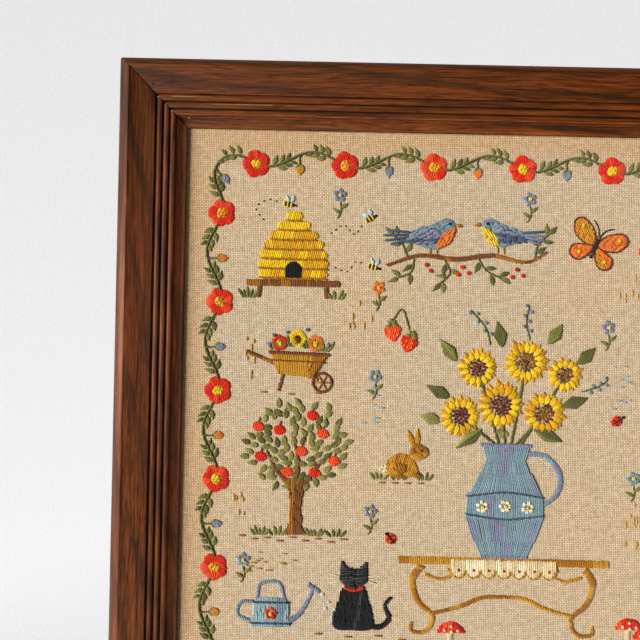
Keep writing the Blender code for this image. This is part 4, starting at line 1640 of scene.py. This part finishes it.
def sew_heart(place):
    """A heart of satin stitch in a ring of leaves and small blue flowers."""
    heart = Needlework("heart", 131, place)
    half = smooth([(0, 8), (5, 13), (12, 11.5), (13, 4), (7, -6), (0, -13)])
    heart.fill([*half, *mirror(half, -1)[-2:0:-1]], 50, (RED, SCARLET), longest=10)
    heart.stem(arc((0, 0), 24, 0, 360, 60), MOSS, 1.3)
    spoke, sign = spokes(24), in_turn(24)
    bases = spoke * (24 + sign)
    tips = bases + (left_of(spoke) + spoke * sign * 0.9) * 4.6
    heart.leaves(bases, tips, 2.7, (LEAF, MOSS), 3)
    for middle in spokes(6, math.pi / 6) * 24:
        heart.daisy(middle, 6, (1, 4.6), 3, (BLUE, LAVENDER), (2.5, 1.0), lift=0.6)
    return [heart]


def sew_barrow(place):
    """A garden barrow of flowers: a slatted tray, a spoked wheel, a leg and long handles."""
    barrow = Needlework("barrow", 141, place)
    barrow.ribbon([(-34, 9), (-14, 1), (14, -9)], (2.6, 3.0, 2.6), (BROWN, AMBER), slant=0.6)
    barrow.fill([(-18, 8), (-13, -6), (11, -8), (20, 7)], 88, (AMBER, AMBER, GOLD), lift=0.5)
    barrow.stem([(-17, 3.5), (18, 2.5)], BROWN, 1.1, lift=1.1)
    barrow.ribbon([(-19, 8.5), (21, 7.5)], 2.6, BROWN, slant=0.2, lift=0.6)
    barrow.ribbon([(-9, -6), (-12, -17)], 2.8, BROWN, slant=0.1)
    hub = (17, -11)
    barrow.ribbon(arc(hub, 6.2, 0, 360, 40), 2.0, (BROWN, MAROON), slant=0.3, lift=0.2)
    barrow.stitch(hub, hub + spokes(6) * 5.4, AMBER, 0.9, lift=0.3)
    barrow.knots(hub, BROWN, 2.2, 0.6)
    for spray in ((-14, 10), (-4, 12), (8, 11), (17, 9)):
        barrow.tuft(spray, 5, 10)
    for along, up, radius, dye in ((-12, 15, 5.6, RED), (0, 18, 6.4, YELLOW), (12, 15, 5.8, ORANGE)):
        barrow.blossom((along, up), radius, dye, MAROON if dye == YELLOW else YELLOW, turn=along)
    barrow.knots([(-19, 14), (-7, 22), (6, 24), (20, 14), (-16, 20)], (BLUE, LAVENDER), 2.8, 0.3)
    barrow.ground(AMBER, (-24, -12, -18), (-6, 6, -19), (12, 24, -18))
    return [barrow]


def sew_rabbit(place):
    """A brown rabbit in the grass, with tall ears and a knotted tail."""
    rabbit = Needlework("rabbit", 151, place)
    body = [(-12, 3), (-11, 10), (-4, 15), (4, 14), (9, 8), (10, 1), (2, -1), (-8, -1)]
    rabbit.fill_smooth(body, 70, (GOLD, AMBER, GOLD), 9)
    rabbit.leaves([(7, 19), (9, 19)], [(2, 32), (9, 33)], 4, GOLD, 4, 1.3)
    head = [(4, 14), (5, 20), (10, 22), (16, 19), (17, 15), (12, 11.5), (7, 11)]
    rabbit.fill_smooth(head, 20, (GOLD, AMBER), 9, 0.3)
    rabbit.leaves([(-8, 1), (5, 2)], [(2, 0), (13, 0)], 3.6, AMBER, 4, 1.3, 0.6)
    thigh = [(-9, 3), (-7, 9), (-1, 9), (2, 4), (-2, 0), (-7, 0)]
    rabbit.fill_smooth(thigh, 120, (AMBER, GOLD), 9, 0.7)
    rabbit.seeded_disc((-13, 5), 2.6, CREAM, lift=0.2)
    rabbit.knots((12, 17.5), BLACK, 1.7, 0.8)
    for along, blades in ((-16, 4), (-3, 3), (14, 4)):
        rabbit.tuft((along, -3), blades, 7)
    rabbit.ground(AMBER, (-16, 18, -4.5))
    return [rabbit]


def sew_sun(place):
    """A round sun with long and short rays."""
    sun = Needlework("sun", 161, place)
    sun.fill(arc((0, 0), 8, 0, 350), 35, (YELLOW, YELLOW, CORN), longest=9)
    sun.stem(arc((0, 0), 8.6, 0, 360, 40), AMBER, 1.2, 3, 0.3)
    reach = 15.5 - 2 * in_turn(16)
    sun.leaves(spokes(16) * 10.4, spokes(16) * reach, 2.4, (CORN, ORANGE), 2, 1.2)
    return [sun]


def sew_strawberry(work, turn):
    """A strawberry with yellow seeds, under a hull of five leaves."""
    outline = [(0, -7), (5.2, -1), (4.6, 4), (0, 5.2), (-4.6, 4), (-5.2, -1)]
    work.fill_smooth(moved(outline, turn=turn), turn + 90, (RED, SCARLET), 20)
    seeds = np.array([(-2, 1), (2, 1), (0, -2.5), (-2.6, -2), (2.6, -2)])
    ends = seeds + (0, -1.4)
    work.stitch(moved(seeds, turn=turn), moved(ends, turn=turn), YELLOW, 0.8, lift=0.9)
    tips = moved([(-5, 4), (-3, 8), (0, 9.5), (3, 8), (5, 4)], turn=turn)
    work.leaves(moved([(0, 4.5)], turn=turn), tips, 2.2, LEAF, 2, 1.2, 0.6)


def sew_toadstool(work):
    """A red toadstool with cream spots, in grass."""
    work.ribbon([(0, -5), (0, 6)], 4.4, (CREAM, BUFF), slant=0.1)
    work.fill(arched(9, 5, 5, 8, 14), 90, (RED, SCARLET), lift=0.4)
    work.knots([(-4.5, 8), (0, 10.5), (4.6, 7.6), (0.4, 6.8)], CREAM, 2.3, 1.1)
    work.tuft((-6, -6), 4, 6)
    work.tuft((7, -6), 3, 6)


def sew_tulip(work, dyes):
    """A tulip of three petals between two leaves."""
    work.stem([(0, -5), (0, 6)], MOSS, 1.4)
    work.leaves((0, 5), [(-3.6, 14), (0, 15.5), (3.6, 14)], 4, dyes, 4, 1.3)
    work.leaves((0, -5), [(-5, 4), (5, 4)], 2.6, LEAF, 3)


def sew_ladybird(work, turn):
    """A ladybird: a red back with a dark line and four dots, and a black head."""
    work.fill(moved(arc((0, 0), (4.2, 3.5), 0, 340), turn=turn), turn, (RED, SCARLET), 1.3)
    work.stitch(moved([(-4, 0)], turn=turn), moved([(4, 0)], turn=turn), BLACK, 0.9, lift=0.9)
    work.knots(moved([(4.8, 0)], turn=turn), BLACK, 2.4, 0.3)
    dots = [(1.6, 1.8), (-1.8, 1.6), (1.6, -1.8), (-1.8, -1.6)]
    work.knots(moved(dots, turn=turn), BLACK, 1.3, 0.8)


def sew_posy(work, turn, dye):
    """A small flower on a bent stem with two leaves."""
    work.daisy((0, 0), 5, (1.1, 5.2), 3.4, dye, (2.6, 0.4), turn=turn)
    work.stem(smooth([(0, -5), (1, -10), (-1, -15)]), MOSS, 1.1, 3)
    work.leaves([(0.4, -9), (0.4, -12)], [(5.5, -5), (-5, -9)], 2.4, LEAF, 3)


def sew_small_things():
    """Small things between the large ones, and patches of single seed stitches."""
    small = Needlework("small_things", 121)
    for place, turn in (((139, 262), 10), ((150, 255), -20), ((322, 262), 15), ((334, 256), -10)):
        small.at(place)
        sew_strawberry(small, turn)
    small.at((0, 0))
    small.stem(smooth([(139, 270), (145, 277), (150, 264)]), MOSS, 1.2, 3)
    small.stem(smooth([(322, 270), (328, 276), (334, 264)]), MOSS, 1.2, 3)
    for place in ((182, 57), (300, 62), (312, 56)):
        small.at(place)
        sew_toadstool(small)
    tulips = ((RED, SCARLET), (YELLOW, CORN), (BLUE, LAVENDER))
    for number, along in enumerate(np.linspace(205, 287, 6)):
        small.at((along, 41.0 + 2 * (number % 2)))
        sew_tulip(small, tulips[number % 3])
    for place, turn in (((289, 206), 35), ((141, 124), 130), ((304, 318), -60)):
        small.at(place)
        sew_ladybird(small, turn)
    posies = (
        (128, 232, BLUE), (282, 268, LAVENDER), (129, 291, ORANGE), (43, 108, BLUE), (301, 168, BLUE),
        (228, 352, LAVENDER), (102, 352, LAVENDER), (127, 142, LAVENDER),
    )
    for along, up, dye in posies:
        small.at((along, up))
        sew_posy(small, along, dye)
    small.at((0, 0))
    for along, up, wide, tall, dye, tilt in SEED_PATCHES:
        count = int(wide * tall / 38)
        spots = small.chance.uniform((along, up), (along + wide, up + tall), (count, 2))
        reach = small.chance.uniform(3, 6, count)[:, None]
        small.stitch(spots, spots + towards(math.radians(tilt)) * reach, dye, 1.0)
    return [small]


def sew_picture(material):
    """All the needlework: a border round a garden, in layers that don't cross."""
    works = [
        *sew_border(),
        *sew_beehive((72, 296)),
        *sew_birds((186, 326)),
        *sew_butterfly("butterfly", (272, 322), -22, 1.0, (ORANGE, ORANGE, GOLD), 35),
        *sew_tree((77, 125)),
        *sew_barrow((76, 238)),
        *sew_rabbit((148, 166)),
        *sew_sun((384, 284)),
        *sew_table((216, 113)),
        *sew_jug((216, 115)),
        *sew_cat((117, 63)),
        *sew_can((62, 63)),
        *sew_cottage((390, 158)),
        *sew_basket((352, 318)),
        *sew_heart((432, 322)),
        *sew_sheep((338, 84)),
        *sew_butterfly("small_butterfly", (437, 72), 18, 0.8, (BLUE, LAVENDER), 36),
        *sew_hollyhocks((314, 158)),
        *sew_dragonfly((446, 258), 35),
        *sew_hen((428, 116)),
        *sew_small_things(),
    ]
    return [work.make(material) for work in works]


def main():
    add_studio()
    oak = oak_finish()
    for index, (name, turn, length, offset) in enumerate(RAILS):
        add_rail(name, index, turn, length, offset, oak)
    linen = add_linen(linen_finish())
    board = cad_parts["backing_board"]
    board.material_slots[0].material = board_finish()
    needlework = sew_picture(wool_finish())


main()
